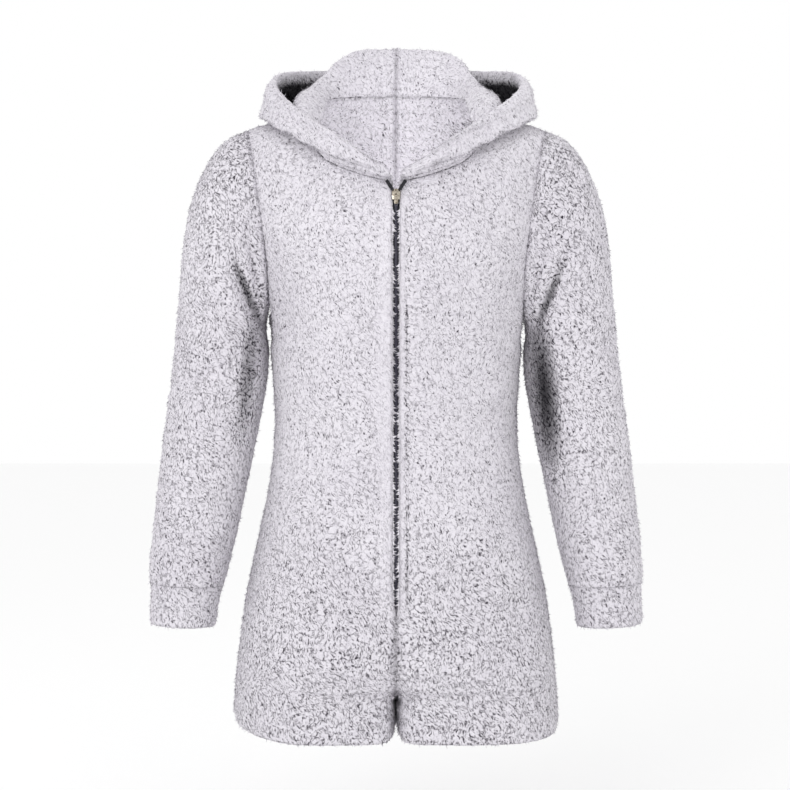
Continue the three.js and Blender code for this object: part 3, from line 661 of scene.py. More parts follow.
def round_edges(obj: bpy.types.Object, width: float, segments: int, sharpest: float) -> None:
    """Round an object's sharp edges.

    Args:
        obj: Object to round.
        width: Width of the rounding in metres.
        segments: Faces across it.
        sharpest: Angle in degrees from which an edge counts as sharp.
    """
    bevel = obj.modifiers.new("edge", "BEVEL")
    bevel.width, bevel.segments = width, segments
    bevel.limit_method, bevel.angle_limit = "ANGLE", math.radians(sharpest)
    bake_modifiers(obj)


def copy_of(node: str, name: str) -> bpy.types.Object:
    """Copy a frame node's mesh as a new welded object.

    Args:
        node: Node of the frame.
        name: Name of the new piece.

    Returns:
        The new object, at the origin.
    """
    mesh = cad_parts[node].data.copy()
    mesh.materials.clear()
    with editing(mesh) as work:
        bmesh.ops.remove_doubles(work, verts=work.verts, dist=2e-6)
    for layer in list(mesh.uv_layers):
        mesh.uv_layers.remove(layer)
    return new_object(name, mesh)


def sharp_edges(work: bmesh.types.BMesh) -> list[bmesh.types.BMEdge]:
    """List a mesh's sharp edges."""
    return [e for e in work.edges if e.is_manifold and e.calc_face_angle(0) > SHARP]


def read_vectors(items: bpy.types.bpy_prop_collection, key: str) -> np.ndarray:
    """Read one vector of each item.

    Args:
        items: Vertices or vertex normals of a mesh.
        key: Property to read.

    Returns:
        Array of shape (n, 3).
    """
    flat = np.empty(len(items) * 3, np.float32)
    items.foreach_get(key, flat)
    return flat.reshape(-1, 3).astype(float)


def positions(mesh: bpy.types.Mesh) -> np.ndarray:
    """Read vertex positions, in metres."""
    return read_vectors(mesh.vertices, "co")


def place_vertices(mesh: bpy.types.Mesh, at: np.ndarray) -> None:
    """Write vertex positions."""
    mesh.vertices.foreach_set("co", at.astype(np.float32).ravel())


def links(mesh: bpy.types.Mesh) -> tuple[np.ndarray, np.ndarray]:
    """List every edge both ways.

    Args:
        mesh: Mesh to read.

    Returns:
        Vertex that each starts from, and vertex that it leads to.
    """
    ends = np.empty(len(mesh.edges) * 2, np.int32)
    mesh.edges.foreach_get("vertices", ends)
    first, second = ends[::2], ends[1::2]
    return np.concatenate([first, second]), np.concatenate([second, first])


def gathered(start: np.ndarray, values: np.ndarray, count: int) -> np.ndarray:
    """Add up the vectors that lead to each of a count of vertices."""
    return np.stack([np.bincount(start, values[:, k], count) for k in range(3)], axis=1)


def iron(mesh: bpy.types.Mesh, where: np.ndarray, rounds: int = 60) -> None:
    """Even out small waves in the cloth without shrinking it.

    Args:
        mesh: Mesh to smooth.
        where: Which vertices may move.
        rounds: Pairs of passes, one that smooths and one that swells back.
    """
    at = positions(mesh)
    start, stop = links(mesh)
    count = np.maximum(np.bincount(start, minlength=len(at)), 1)
    for factor in (0.5, -0.51) * rounds:
        around = gathered(start, at[stop], len(at))
        at[where] += factor * (around / count[:, None] - at)[where]
    place_vertices(mesh, at)
    mesh.update()


def cloth_normals(mesh: bpy.types.Mesh, rim: np.ndarray) -> np.ndarray:
    """Read outward directions that follow the cloth's face up to its cut edges.

    Args:
        mesh: Mesh to read.
        rim: Which vertices lie on a cut edge.

    Returns:
        Unit vectors. A cut edge takes the direction of the cloth beside it.
    """
    at, facing = positions(mesh), read_vectors(mesh.vertex_normals, "vector")
    start, stop = links(mesh)
    beside = rim[start] & ~rim[stop]
    start, stop = start[beside], stop[beside]
    weight = ((at[start] - at[stop]) ** 2).sum(axis=1) ** 2
    total = gathered(start, weight[:, None] * facing[stop], len(at))
    size = np.linalg.norm(total, axis=1)
    found = size > 0
    facing[found] = total[found] / size[found, None]
    return facing


def store(mesh: bpy.types.Mesh, name: str, values: np.ndarray) -> None:
    """Store a value on each vertex.

    Args:
        mesh: Mesh that takes the attribute.
        name: Attribute name.
        values: One number a vertex.
    """
    layer = mesh.attributes.new(name, "FLOAT", "POINT")
    layer.data.foreach_set("value", values.astype(np.float32))


def ramp(value: np.ndarray, start: float, width: float) -> np.ndarray:
    """Rise from 0 at the start to 1 a width further on. A negative width runs downwards."""
    return np.clip((value - start) / width, 0, 1)


def bell(value: np.ndarray, middle: float, width: float) -> np.ndarray:
    """Rise to 1 at the middle and fade on both sides."""
    return np.exp(-(((value - middle) / width) ** 2))


@dataclass(frozen=True)
class Crease:
    """Soft trough in the cloth with a low ridge beside it. Millimetres, in a front view."""

    face: Face
    x0: float
    z0: float
    x1: float
    z1: float
    depth: float
    breadth: float
    # Painted shade in the trough, from 0 to 1.
    gloom: float = 0.0
    even: bool = False

    def reach(self, at: np.ndarray) -> tuple[np.ndarray, np.ndarray]:
        """Measure points against the crease's line.

        Args:
            at: Positions in metres.

        Returns:
            Signed distance over the crease's breadth, and the fade towards its two ends.
        """
        start = np.array([self.x0, self.z0])
        line = np.array([self.x1, self.z1]) - start
        offset = at[:, [0, 2]] * 1000 - start
        length = float(np.hypot(*line))
        share = np.clip(offset @ line / length**2, 0, 1)
        away = offset - share[:, None] * line
        sign = np.sign(away[:, 0] * line[1] - away[:, 1] * line[0])
        fade = np.ones(len(at)) if self.even else np.sin(np.pi * (0.12 + 0.76 * share))
        return sign * np.hypot(away[:, 0], away[:, 1]) / self.breadth, fade

    def offset(self, at: np.ndarray) -> tuple[np.ndarray, np.ndarray]:
        """How far the crease moves the cloth outwards, and how much it shades it.

        Args:
            at: Positions in metres.

        Returns:
            Offsets in metres, and shade from 0 to 1.
        """
        distance, fade = self.reach(at)
        here = at[:, 1] < 0 if self.face is Face.FRONT else at[:, 1] >= 0
        trough, ridge = bell(distance, 0, 1), bell(distance, 1.9, 0.9)
        move = self.depth / 1000 * (-trough + 0.4 * ridge) * fade * here
        return move, self.gloom * trough * fade * here


def creases(face: Face, *rows: tuple) -> tuple[Crease, ...]:
    """Lay creases on one face, each by its two ends, depth, breadth, shade and evenness."""
    return tuple(Crease(face, *row) for row in rows)


# The seventh number of a crease is the painted shade in its trough: underarm folds, sleeve
# insides, legs and stitching grooves.
FRONT_CREASES = creases(
    Face.FRONT,
    (-172, -128, -152, -240, 4, 6, 0.5),
    (-196, -150, -150, -258, 6, 8, 0.9),
    (172, -138, 152, -250, 4, 6, 0.5),
    (200, -160, 155, -262, 6, 8, 0.9),
    (-31, -654, -12, -690, 3, 5, 0.25),
    (5, -678, 36, -660, 3, 5, 0.25),
    (-140, -352, -66, -384, 3, 12),
    (142, -338, 78, -362, 3, 12),
    (-128, -586, -60, -640, 2.5, 12),
    (96, -598, 150, -560, 2.5, 12),
)
SLEEVE_SHADES = creases(
    Face.FRONT,
    (-166, -205, -184, -400, 0, 15, 0.75),
    (164, -215, 186, -430, 0, 20, 1.0),
)
LEG_SHADES = creases(
    Face.FRONT,
    (30, -540, 120, -650, 0, 90, 0.14, True),
    (-36, -620, -100, -690, 0, 60, 0.1, True),
)
TOPSTITCH = creases(
    Face.FRONT,
    (12.5, -112, 13.5, -575, 1.4, 2.3, 0.72, True),
    (-22, -112, -20, -575, 0.9, 2.2, 0.12, True),
    (-188, -699, -6, -703, 0.7, 2.2, 0.1, True),
    (188, -699, 6, -703, 0.7, 2.2, 0.1, True),
) + creases(
    Face.BACK,
    (-188, -700, -6, -702, 0.7, 2.2, 0.1, True),
    (188, -700, 6, -702, 0.7, 2.2, 0.1, True),
)
# Painted shade in the dark slits and hollows inside the neck, and in thin lines beside the
# centre-back and neck bindings; the rows with a depth raise the bindings.
INSIDE_NECK = creases(
    Face.BACK,
    (-106, 8, -46, -36, 0, 9, 1.0),
    (-98, -8, -40, -60, 0, 22, 0.35),
    (142, 34, 60, -22, 0, 18, 0.7),
    (-15.5, 40, -15.5, -110, 0, 1.8, 0.6, True),
    (-7, 44, -7, -110, -3.2, 5, 0, True),
    (-70, 34, 76, 30, -1.6, 3.0, 0, True),
    (-70, 28, 76, 24, 0, 1.4, 0.3, True),
)
BACK_CREASES = creases(
    Face.BACK,
    (-186, -140, -152, -252, 5, 8, 0.7),
    (190, -148, 154, -256, 5, 8, 0.7),
    (-118, -348, -20, -366, 3.5, 11),
    (124, -372, 26, -390, 3.5, 12),
    (-96, -636, -18, -662, 3, 10),
    (104, -644, 20, -668, 3, 10),
    (-20, -176, 66, -205, 2.5, 13),
)
SLEEVE_CREASES = creases(
    Face.FRONT,
    (-262, -316, -192, -292, 4, 9, 0.3),
    (-268, -432, -196, -404, 3.5, 10, 0.15),
    (-282, -500, -214, -478, 3, 9, 0.15),
    (264, -330, 190, -300, 4, 9, 0.3),
    (270, -420, 200, -390, 3.5, 10, 0.2),
    (286, -512, 216, -486, 3, 9, 0.2),
) + creases(
    Face.BACK,
    (-262, -326, -190, -298, 4, 10, 0.2),
    (-272, -418, -200, -396, 3.5, 10),
    (266, -318, 192, -294, 4, 10, 0.2),
    (276, -436, 204, -410, 3.5, 10),
)


@dataclass(frozen=True)
class HoodShade:
    """Deep shade inside the lowered hood. Degrees from straight behind, and millimetres."""

    axis_y: float = -15
    azimuths: tuple[float, ...] = (0, 39, 57, 75, 92, 106, 119, 133)
    middles: tuple[float, ...] = (146, 148, 142, 138, 134, 131, 122, 115)
    rims: tuple[float, ...] = (93, 88, 80, 65, 42, 20, 1, -18)
    last_azimuth: float = 128
    facing_limit: float = 0.15
    top: float = 7
    fall: float = 13
    pouch: float = 240
    clearance: float = 3

    def at(self, at: np.ndarray, facing: np.ndarray) -> np.ndarray:
        """Shade of each point of the hood.

        Args:
            at: Positions in metres.
            facing: Outward directions.

        Returns:
            Shade from 0 to 1.
        """
        x, y = np.abs(at[:, 0]) * 1000, at[:, 1] * 1000 - self.axis_y
        reach, azimuth = np.hypot(x, y), np.degrees(np.arctan2(x, y))
        middle = np.interp(azimuth, self.azimuths, self.middles)
        rim = np.interp(azimuth, self.azimuths, self.rims)
        outward = (facing[:, 0] * np.sign(at[:, 0]) * x + facing[:, 1] * y) / np.maximum(reach, 1)
        limit = self.facing_limit
        inside = np.where(reach < middle, outward > limit, outward < -limit)
        inside &= azimuth < self.last_azimuth
        depth = np.clip((rim - self.top - at[:, 2] * 1000) / self.fall, 0, 1) * inside
        hood = [self.tree_of(f"hood_{side.word}") for side in Side]
        down = Vector((0, 0, -1))
        for index in np.flatnonzero(depth > 0):
            origin = Vector(at[index] + self.clearance / 1000 * facing[index])
            if all(tree.ray_cast(origin, down, self.pouch / 1000)[0] is None for tree in hood):
                depth[index] = 0
        return depth

    def tree_of(self, node: str) -> BVHTree:
        """Build a search tree of one of the frame's solids.

        Args:
            node: Node of the frame.

        Returns:
            The tree.
        """
        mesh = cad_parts[node].data
        return BVHTree.FromPolygons(
            [v.co for v in mesh.vertices], [tuple(face.vertices) for face in mesh.polygons]
        )


@dataclass(frozen=True)
class HoodShape:
    """How the lowered hood differs from the frame's even halves. Metres."""

    crest: float = 0.0045
    crest_corner: float = 0.004
    corner_x: float = 0.062
    corner_breadth: float = 0.027
    crest_shift: float = 0.004
    right_bulge: float = 0.007
    hollow_y: float = -0.015
    hollow_radius: float = 0.125
    hollow_edge: float = 0.012

    def moved(self, at: np.ndarray) -> np.ndarray:
        """Square the crest's corners, raise it, and let the right side stand wider.

        Args:
            at: Positions in metres.

        Returns:
            The new positions.
        """
        out, (x, y, z) = at.copy(), at.T
        within = ramp(np.hypot(x, y - self.hollow_y), self.hollow_radius, -self.hollow_edge)
        high = ramp(z, 0.05, 0.03) * within
        corner = bell(np.abs(x - self.crest_shift), self.corner_x, self.corner_breadth)
        out[:, 2] += high * (self.crest + self.crest_corner * corner)
        out[:, 0] += high * self.crest_shift * ramp(np.abs(x), 0, 0.02)
        out[:, 0] += self.right_bulge * (ramp(x, 0.1, 0.05) * ramp(z, -0.02, 0.04))
        return out


def lift_left_hem(at: np.ndarray) -> np.ndarray:
    """How far the left leg's hem rides up at its outer side, in metres."""
    side = ramp(at[:, 0], -0.11, -0.08) ** 1.5
    return 0.012 * side * ramp(at[:, 2], -0.64, -0.08)


def press_thighs(at: np.ndarray) -> np.ndarray:
    """Press the insides of the two legs towards each other half way between front and back.

    Args:
        at: Positions in metres.

    Returns:
        The new X of each point.
    """
    x, y, z = at.T
    low = ramp(z, -0.672, -0.015) * np.maximum(ramp(z, -0.7285, 0.012), 0.15)
    near = np.clip(1 - np.abs(x) / 0.014, 0, 1)
    return x * (1 - 0.98 * low * near**0.25 * bell(y, 0, 0.08))


def sleeve_cap(at: np.ndarray) -> np.ndarray:
    """How far the sleeve's top stands out over the shoulder, in metres."""
    away = ramp(np.abs(at[:, 0]), 0.17, 0.03)
    return ramp(at[:, 2], -0.2, 0.1) * (0.0025 + 0.003 * away)


def placket(at: np.ndarray) -> np.ndarray:
    """How flat the pile lies: beside the zip, between the thighs and at the top of the legs.

    Args:
        at: Positions in metres.

    Returns:
        Flatness from 0 to 1.
    """
    x, z = at[:, 0] * 1000, at[:, 2] * 1000
    right = 0.75 * ((x > 0) & (x < 11.5))
    left = 0.5 * ((x <= 0) & (x > -20))
    between = 0.8 * ((np.abs(x) < 5) & (z < -674))
    thigh = 0.25 * bell(z, -657, 17)
    return np.maximum.reduce([(right + left) * ((z > -575) & (z < -90)), between, thigh])


@dataclass
class ClothPiece:
    """One cut and sewn piece of fleece. Flat sizes in metres, its own axis in millimetres."""

    node: str
    flat: tuple[float, float]
    area: float
    seed: int
    axis: tuple[float, float, float] | None = None
    creases: tuple[Crease, ...] = ()
    lining: tuple[Crease, ...] = ()
    open_below: float | None = None
    levels: int = 2
    inset: float = 0.0009
    seam_fluff: float = 7.0
    centre_reach: float = 0.0006
    seam_reach: float = 0.0012
    centre_width: float = 0.006
    side_depth: float = 0.04

    @property
    def is_hood(self) -> bool:
        """The hood alone is rolled and has no axis of its own."""
        return self.axis is None

    @property
    def is_body(self) -> bool:
        """Fronts and backs."""
        return self.node.startswith(("front", "back"))

    def shape(self) -> bpy.types.Object:
        """Round the frame's facets into smooth cloth.

        Returns:
            The smooth piece, with a fine mesh outside and a coarser one inside.
        """
        obj = copy_of(self.node, f"{self.node}_fleece")
        seam = self.neck_seam() if self.is_hood else None
        with editing(obj.data) as work:
            bmesh.ops.join_triangles(
                work, faces=work.faces, angle_face_threshold=math.radians(38),
                angle_shape_threshold=math.radians(70),
            )
            crease = work.edges.layers.float.new("crease_edge")
            for edge in sharp_edges(work):
                edge[crease] = float(self.keeps(edge, seam))
        smooth = obj.modifiers.new("round", "SUBSURF")
        smooth.levels = smooth.render_levels = self.levels
        bake_modifiers(obj)
        self.refine(obj.data)
        return obj

    def neck_seam(self) -> KDTree:
        """Collect the fronts' and backs' points, for finding the hood's edge on the neck seam.

        Returns:
            A tree of those points.
        """
        side = self.node.split("_")[1]
        nodes = (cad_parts[f"{stem}_{side}"] for stem in ("front", "back"))
        at = np.concatenate([positions(node.data) for node in nodes])
        tree = KDTree(len(at))
        for index, point in enumerate(at):
            tree.insert(point, index)
        tree.balance()
        return tree

    def keeps(self, edge: bmesh.types.BMEdge, seam: KDTree | None) -> bool:
        """Whether a sharp edge stays a cut edge: a seam does, a hem or a rolled edge doesn't.

        Args:
            edge: Sharp edge of the piece.
            seam: Points of the cloth that the hood is sewn to, for the hood alone.

        Returns:
            True for a seam's edge.
        """
        low, top = sorted(v.co.z for v in edge.verts)
        level = top - low < 0.5 * edge.calc_length()
        if self.open_below is not None and level and low * 1000 < self.open_below:
            return False
        if seam is None:
            return True
        on_centre = max(abs(v.co.x) for v in edge.verts) < self.centre_reach
        return on_centre or all(seam.find(v.co)[2] < self.seam_reach for v in edge.verts)

    def outside(self, at: np.ndarray, facing: np.ndarray) -> np.ndarray:
        """Which points are on the garment's outer side.

        Args:
            at: Positions in metres.
            facing: Outward directions.

        Returns:
            One for outside and zero for inside.
        """
        if self.is_hood:
            return np.ones(len(at))
        x, y, top = (value / 1000 for value in self.axis)
        upright = np.full(len(at), x), np.full(len(at), y), np.minimum(at[:, 2], top)
        return (np.einsum("ij,ij->i", at - np.stack(upright, axis=1), facing) > 0).astype(float)

    def lining_seen(self, at: np.ndarray) -> np.ndarray:
        """How far points of the inner side show through the neck opening, from 0 to 1."""
        return ramp(at[:, 2], -0.135, 0.02) if self.lining else np.zeros(len(at))

    def refine(self, mesh: bpy.types.Mesh) -> None:
        """Split the faces that show once more, where the pile needs a finer mesh.

        Args:
            mesh: The piece's mesh, which also takes its "rim" attribute: one on a cut edge.
        """
        with editing(mesh) as work:
            centres = np.array([f.calc_center_median() for f in work.faces])
            facing = np.array([f.normal for f in work.faces])
            fine = np.maximum(self.outside(centres, facing), self.lining_seen(centres))
            edges = {e for f, seen in zip(work.faces, fine) if seen > 0.5 for e in f.edges}
            bmesh.ops.subdivide_edges(work, edges=list(edges), cuts=1, use_grid_fill=True)
            work.verts.index_update()
            sharp = {v.index for e in sharp_edges(work) for v in e.verts}
        rim = np.isin(np.arange(len(mesh.vertices)), list(sharp))
        if self.is_body:
            x, y, z = positions(mesh).T
            foot, top = THIGH_BAND
            thigh = (z > foot) & (z < top)
            rim &= ~(thigh & (np.abs(x) > self.centre_width) & (np.abs(y) > self.side_depth))
            iron(mesh, ~rim & thigh)
        store(mesh, "rim", rim.astype(float))

    def wear(self, at: np.ndarray) -> np.ndarray:
        """How far the pile has opened, with painted shade: more on the sleeves and low on the
        body.

        Args:
            at: Positions in metres.

        Returns:
            Shade from 0 to 1.
        """
        if self.is_hood:
            return np.zeros(len(at))
        if self.is_body:
            return 0.08 + 0.27 * ramp(at[:, 2], -0.4, -0.22)
        return 0.24 + 0.16 * ramp(at[:, 2], -0.16, 0.1)

    def fold(self, at: np.ndarray, outer: np.ndarray) -> tuple[np.ndarray, np.ndarray]:
        """Add up the creases of the outer side and of the lining.

        Args:
            at: Positions in metres.
            outer: One for outside and zero for inside.

        Returns:
            Offsets along the outward directions in metres, and shade from 0 to 1.
        """
        move, shade = np.zeros(len(at)), np.zeros(len(at))
        for crease in self.creases:
            push, gloom = crease.offset(at)
            move += push * np.where(outer > 0.5, 1, -1)
            shade = np.maximum(shade, gloom * outer)
        for crease in self.lining:
            push, gloom = crease.offset(at)
            move += push * (1 - outer)
            shade = np.maximum(shade, gloom * (1 - outer))
        return move, shade

    def dress(self, pile: Pile, tree: bpy.types.NodeTree) -> None:
        """Make the finished piece and its locks, riding on the garment.

        Args:
            pile: Pile that covers it.
            tree: The pile's node tree.
        """
        obj = self.shape()
        mesh = obj.data
        at = positions(mesh)
        rim = np.empty(len(at), np.float32)
        mesh.attributes["rim"].data.foreach_get("value", rim)
        facing = cloth_normals(mesh, rim > 0.5)
        outer = self.outside(at, facing)
        move, shade = self.fold(at, outer)
        move -= self.inset * outer * (1 - rim)
        if self.node.startswith("sleeve"):
            move += sleeve_cap(at)
        moved = at + facing * move[:, None]
        # Painted shade and opened pile: more on the sleeves and low on the body.
        shade = np.maximum(shade, outer * self.wear(at))
        smooth = np.zeros(len(at))
        if self.is_body:
            moved[:, 0] = press_thighs(moved)
            moved[:, 2] += lift_left_hem(at)
            smooth = placket(at)
        if self.is_hood:
            shade = np.maximum(shade, HoodShade().at(at, facing))
            moved = HoodShape().moved(moved)
        place_vertices(mesh, moved)
        seen = np.maximum(outer, self.lining_seen(at))
        store(mesh, "pile", (0.3 + 0.7 * seen) * (1 - smooth))
        store(mesh, "loose", seen * (1 - 0.6 * smooth) * (1 + self.seam_fluff * rim))
        store(mesh, "shade", shade)
        locks = pile.grow(obj, tree, self.seed)
        obj.data.shade_smooth()
        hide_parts(self.node)
        for piece in (obj, locks):
            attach(piece, GARMENT)
            LOG.info("%s: %d faces", piece.name, len(piece.data.polygons))


@dataclass
class FleeceBody:
    """All the fleece: fronts, backs, sleeves, cuffs and hood."""

    pile: Pile = field(default_factory=Pile)

    def pieces(self, side: Side) -> list[ClothPiece]:
        """List the cut pieces of one side.

        Args:
            side: Half of the garment.

        Returns:
            Its cloth pieces.
        """
        s, word, seed = side.value, side.word, 10 * (2 - side.value)
        return [
            ClothPiece(
                f"front_{word}", (0.27, 0.76), 0.151, seed + 1, (80 * s, 0, -60),
                FRONT_CREASES + LEG_SHADES + TOPSTITCH, open_below=-715,
            ),
            ClothPiece(
                f"back_{word}", (0.27, 0.8), 0.167, seed + 2, (80 * s, 0, -60),
                BACK_CREASES + TOPSTITCH, INSIDE_NECK, open_below=-715,
            ),
            ClothPiece(
                f"sleeve_{word}", (0.42, 0.54), 0.156, seed + 3, (205 * s, 0, -120),
                FRONT_CREASES + BACK_CREASES + SLEEVE_CREASES + SLEEVE_SHADES,
            ),
            ClothPiece(
                f"cuff_{word}", (0.27, 0.055), 0.0125, seed + 4, (250 * s, -27, 0), open_below=-588
            ),
            ClothPiece(f"hood_{word}", (0.42, 0.46), 0.105, seed + 5),
        ]

    def build(self, fleece: bpy.types.Material) -> None:
        """Build every fleece piece.

        Args:
            fleece: The fleece's material.
        """
        tree = self.pile.tree(fleece)
        for side in Side:
            for piece in self.pieces(side):
                piece.dress(self.pile, tree)


@dataclass
class ZipFastener:
    """Coil zip: tapes, coil, splayed ends, slider and pull tab. Metres."""

    pitch: float = 0.0016
    loop: float = 0.0026
    wire: float = 0.00042
    core: float = 0.0011
    tape: tuple[float, float] = (0.0137, 0.5)
    fringe_spacing: float = 0.0013
    fringe_length: float = 0.0041
    fringe_width: float = 0.0009
    slit_top: float = -0.09
    slit_foot: float = -0.562
    slit_half: float = 0.0045
    slit_step: float = 0.008
    coil_step: float = 0.006

    def tapes(self, material: bpy.types.Material) -> None:
        """Dress the tapes and their splayed ends in woven cloth.

        Args:
            material: Woven tape.
        """
        for side in Side:
            for stem in ("zip_tape", "zip_end"):
                node = f"{stem}_{side.word}"
                obj = copy_of(node, f"{node}_cloth")
                round_edges(obj, 0.0003, 2, 50)
                obj.data.materials.append(material)
                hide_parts(node)
                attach(obj, GARMENT)
                LOG.info("%s", obj.name)

    def path(self) -> np.ndarray:
        """Read the line of the coil off the frame's chain.

        Returns:
            Points down the middle of the chain's outer face, from top to bottom.
        """
        rows = {}
        for point in positions(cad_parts["zip_chain"].data):
            rows.setdefault(round(float(point[2]), 4), []).append(point[1])
        line = []
        for height in sorted(rows, reverse=True):
            if not line or line[-1][2] - height > self.coil_step:
                line.append((0.0, float(min(rows[height])), height))
        return np.array(line)

    def slit_edge(self, side: Side) -> np.ndarray:
        """Read the line of the front's edge beside the zip.

        Args:
            side: Half of the garment.

        Returns:
            Points along the edge, from top to bottom.
        """
        at = positions(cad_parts[f"front_{side.word}"].data)
        x, _, z = at.T
        near = at[(np.abs(x) < self.slit_half) & (z > self.slit_foot) & (z < self.slit_top)]
        line = []
        for height in sorted({round(float(z), 4) for z in near[:, 2]}, reverse=True):
            row = near[np.abs(near[:, 2] - height) < 0.0002]
            point = row[row[:, 1].argmin()]
            if not line or line[-1][2] - point[2] > self.slit_step:
                line.append(point)
        return np.array(line)

    def fringe(self, side: Side, tree: bpy.types.NodeTree) -> None:
        """Let the pile lean over the zip from the front's edge, in uneven clumps.

        Args:
            side: Half of the garment.
            tree: The fringe's node tree.
        """
        values = {
            "Spacing": self.fringe_spacing, "Length": self.fringe_length,
            "Width": self.fringe_width, "Lean": (-1.0 * side.value, -0.18, -0.35),
            "Seed": 31 + side.value,
        }
        piece = grown_along(self.slit_edge(side), f"zip_fringe_{side.word}", tree, values)
        for name in ("pile", "shade"):
            store(piece.data, name, np.zeros(len(piece.data.vertices)))
        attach(piece, GARMENT)
        LOG.info("%s: %d faces", piece.name, len(piece.data.polygons))

    def fringe_tree(self, material: bpy.types.Material) -> bpy.types.NodeTree:
        """Build the fringe's node tree.

        Args:
            material: Fleece.

        Returns:
            A geometry node tree with named inputs.
        """
        floats = dict.fromkeys(("Spacing", "Length", "Width"), "Float")
        nodes, given = new_group("zip fringe", floats | {"Lean": "Vector", "Seed": "Int"})
        roots = nodes.add(
            "GeometryNodeCurveToPoints", {"Curve": given["Geometry"], "Length": given["Spacing"]},
            mode="LENGTH",
        )
        clump = nodes.noise(nodes.add("GeometryNodeInputPosition"), 190.0, 2.0)
        grown = nodes.remap(clump, (0.42, 0.64), (0.4, 1.25))
        size = nodes.maths("MULTIPLY", grown, nodes.chance(0.6, 1.25, given["Seed"]))
        stray = nodes.stray((-0.3, -0.25, -0.9), (0.3, 0.1, 0.6), given["Seed"])
        aim = nodes.vector("ADD", given["Lean"], stray)
        tufts = nodes.tufts(roots, aim, size, 5, given["Width"], given["Length"])
        nodes.finish(tufts, material)
        return nodes.tree

    def coil(self, material: bpy.types.Material) -> None:
        """Lay the meshed loops of the coil down the chain.

        Args:
            material: Nylon.
        """
        values = {"Pitch": self.pitch, "Loop": self.loop, "Wire": self.wire, "Core": self.core}
        piece = grown_along(self.path(), "zip_chain_coil", self.coil_tree(material), values)
        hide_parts("zip_chain")
        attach(piece, GARMENT)
        LOG.info("%s: %d faces", piece.name, len(piece.data.polygons))

    def coil_tree(self, material: bpy.types.Material) -> bpy.types.NodeTree:
        """Build the coil's node tree.

        Args:
            material: Nylon.

        Returns:
            A geometry node tree with named inputs.
        """
        floats = ("Pitch", "Loop", "Wire", "Core")
        nodes, given = new_group("zip coil", dict.fromkeys(floats, "Float"))
        line, loop, wire = given["Geometry"], given["Loop"], given["Wire"]
        stations = nodes.add(
            "GeometryNodeCurveToPoints", {"Curve": line, "Length": given["Pitch"]}, mode="LENGTH"
        )
        size = nodes.add("ShaderNodeCombineXYZ", {0: loop, 1: wire, 2: wire})
        ball = nodes.add("GeometryNodeMeshUVSphere", {"Segments": 8, "Rings": 5, "Radius": 1.0})
        joined = add_node(nodes.tree, "GeometryNodeJoinGeometry")
        for sign in (-1, 1):
            shift = nodes.maths("MULTIPLY", loop, 0.32 * sign)
            drop = nodes.maths("MULTIPLY", given["Pitch"], 0.25 * sign)
            move = nodes.add("ShaderNodeCombineXYZ", {0: shift, 1: 0.0, 2: drop})
            moved = nodes.add("GeometryNodeSetPosition", {"Geometry": stations, "Offset": move})
            loops = nodes.add(
                "GeometryNodeInstanceOnPoints", {"Points": moved, "Instance": ball, "Scale": size}
            )
            nodes.tree.links.new(loops, joined.inputs[0])
        round_cord = nodes.add(
            "GeometryNodeCurvePrimitiveCircle", {"Resolution": 8, "Radius": given["Core"]}
        )
        cord = nodes.add(
            "GeometryNodeCurveToMesh",
            {"Curve": line, "Profile Curve": round_cord, "Fill Caps": True},
        )
        nodes.tree.links.new(cord, joined.inputs[0])
        real = nodes.add("GeometryNodeRealizeInstances", {"Geometry": joined.outputs[0]})
        nodes.finish(real, material)
        return nodes.tree

    def metal(self, material: bpy.types.Material) -> None:
        """Round the cast edges of the slider and the pull tab.

        Args:
            material: Plated zinc.
        """
        for node, body in (("zip_slider", GARMENT), ("zip_pull_tab", PULL_BODY)):
            obj = copy_of(node, f"{node}_cast")
            with editing(obj.data) as work:
                bmesh.ops.dissolve_limit(
                    work, angle_limit=math.radians(3), verts=work.verts, edges=work.edges
                )
            round_edges(obj, 0.00028, 3, 40)
            obj.data.materials.append(material)
            obj.data.shade_smooth()
            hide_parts(node)
            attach(obj, body)
            LOG.info("%s", obj.name)

    def build(self, fleece: bpy.types.Material) -> None:
        """Build the whole zip, with the pile that leans over it.

        Args:
            fleece: Material of the fronts.
        """
        tree = self.fringe_tree(fleece)
        for side in Side:
            self.fringe(side, tree)
        self.tapes(TapeFinish().build())
        self.coil(CoilFinish().build())
        self.metal(NickelFinish().build())


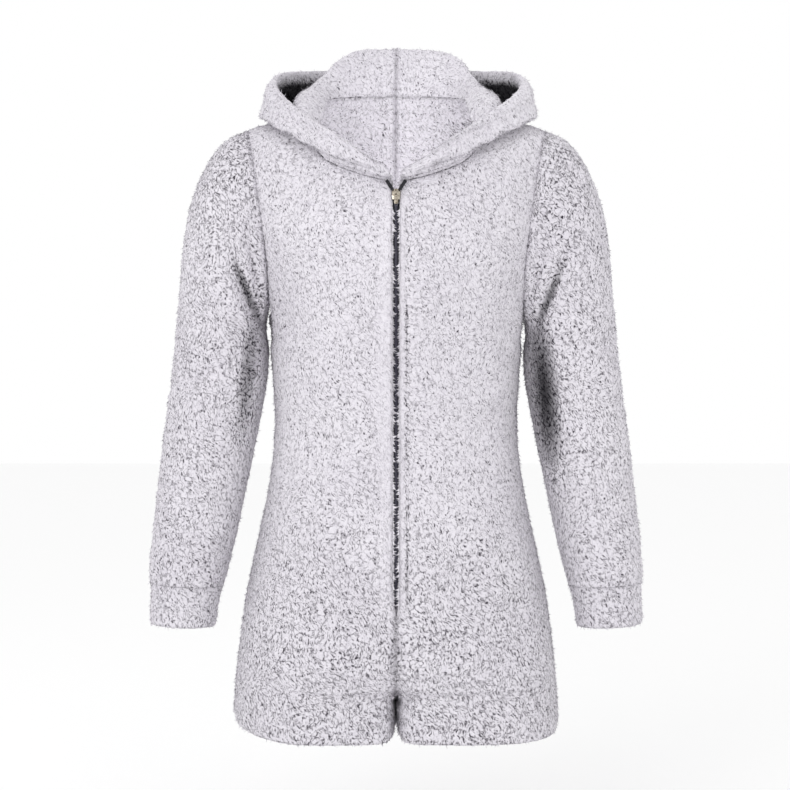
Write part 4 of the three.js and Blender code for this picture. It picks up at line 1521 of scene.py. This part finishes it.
@dataclass
class Studio:
    """White paper floor, soft lights, white surroundings and the photograph's camera. Metres."""

    floor_z: float = -0.9
    half: float = 12.0
    distance: float = 2.0
    eye_z: float = -0.324
    eye_x: float = -0.0012
    lens_mm: float = 75.95

    def build(self) -> None:
        """Build floor, lights, world and camera."""
        self.floor()
        self.lights()
        self.camera()

    def floor(self) -> None:
        """Lay the floor."""
        h = self.half
        mesh = bpy.data.meshes.new("floor")
        mesh.from_pydata([(-h, -h, 0), (h, -h, 0), (h, h, 0), (-h, h, 0)], [], [(0, 1, 2, 3)])
        mesh.materials.append(FloorFinish().build())
        obj = new_object("floor", mesh)
        obj.location.z = self.floor_z

    def lights(self) -> None:
        """Hang two large soft lights, the stronger at the upper left, and one inside the neck."""
        body = (0.0, 0.0, -0.35)
        lamps = (
            ("key", (-1.5, -2.6, 0.9), 1.7, 24.0, body),
            ("fill", (1.9, -2.4, 0.2), 2.2, 7.0, body),
            ("inside the neck", (0.0, -0.035, -0.11), 0.1, 0.2, (0.0, 0.09, -0.01)),
        )
        for name, place, size, power, target in lamps:
            data = bpy.data.lights.new(name, "AREA")
            data.energy, data.size = power, size
            obj = new_object(name, data)
            obj.location = place
            aim = Vector(target) - Vector(place)
            obj.rotation_euler = aim.to_track_quat("-Z", "Y").to_euler()
        world = bpy.data.worlds.new("studio")
        world.use_nodes = True
        sky = world.node_tree.nodes["Background"].inputs
        sky["Color"].default_value, sky["Strength"].default_value = (1, 1, 1, 1), 1.0
        bpy.context.scene.world = world
        bpy.context.scene.view_settings.view_transform = "Standard"

    def camera(self) -> None:
        """Stand the camera level in front of the garment."""
        data = bpy.data.cameras.new("camera")
        data.lens, data.sensor_width = self.lens_mm, 36.0
        obj = new_object("camera", data)
        eye = Matrix.Translation((self.eye_x, -self.distance, self.eye_z))
        obj.matrix_world = eye @ Matrix.Rotation(math.radians(90), 4, "X")
        bpy.context.scene.camera = obj


def main() -> None:
    """Build the studio, the fleece and the zip."""
    logging.basicConfig(level=logging.INFO, format="%(name)s: %(message)s")
    Studio().build()
    fleece = FleeceFinish().build()
    FleeceBody().build(fleece)
    ZipFastener().build(fleece)


if __name__ == "__main__":
    main()
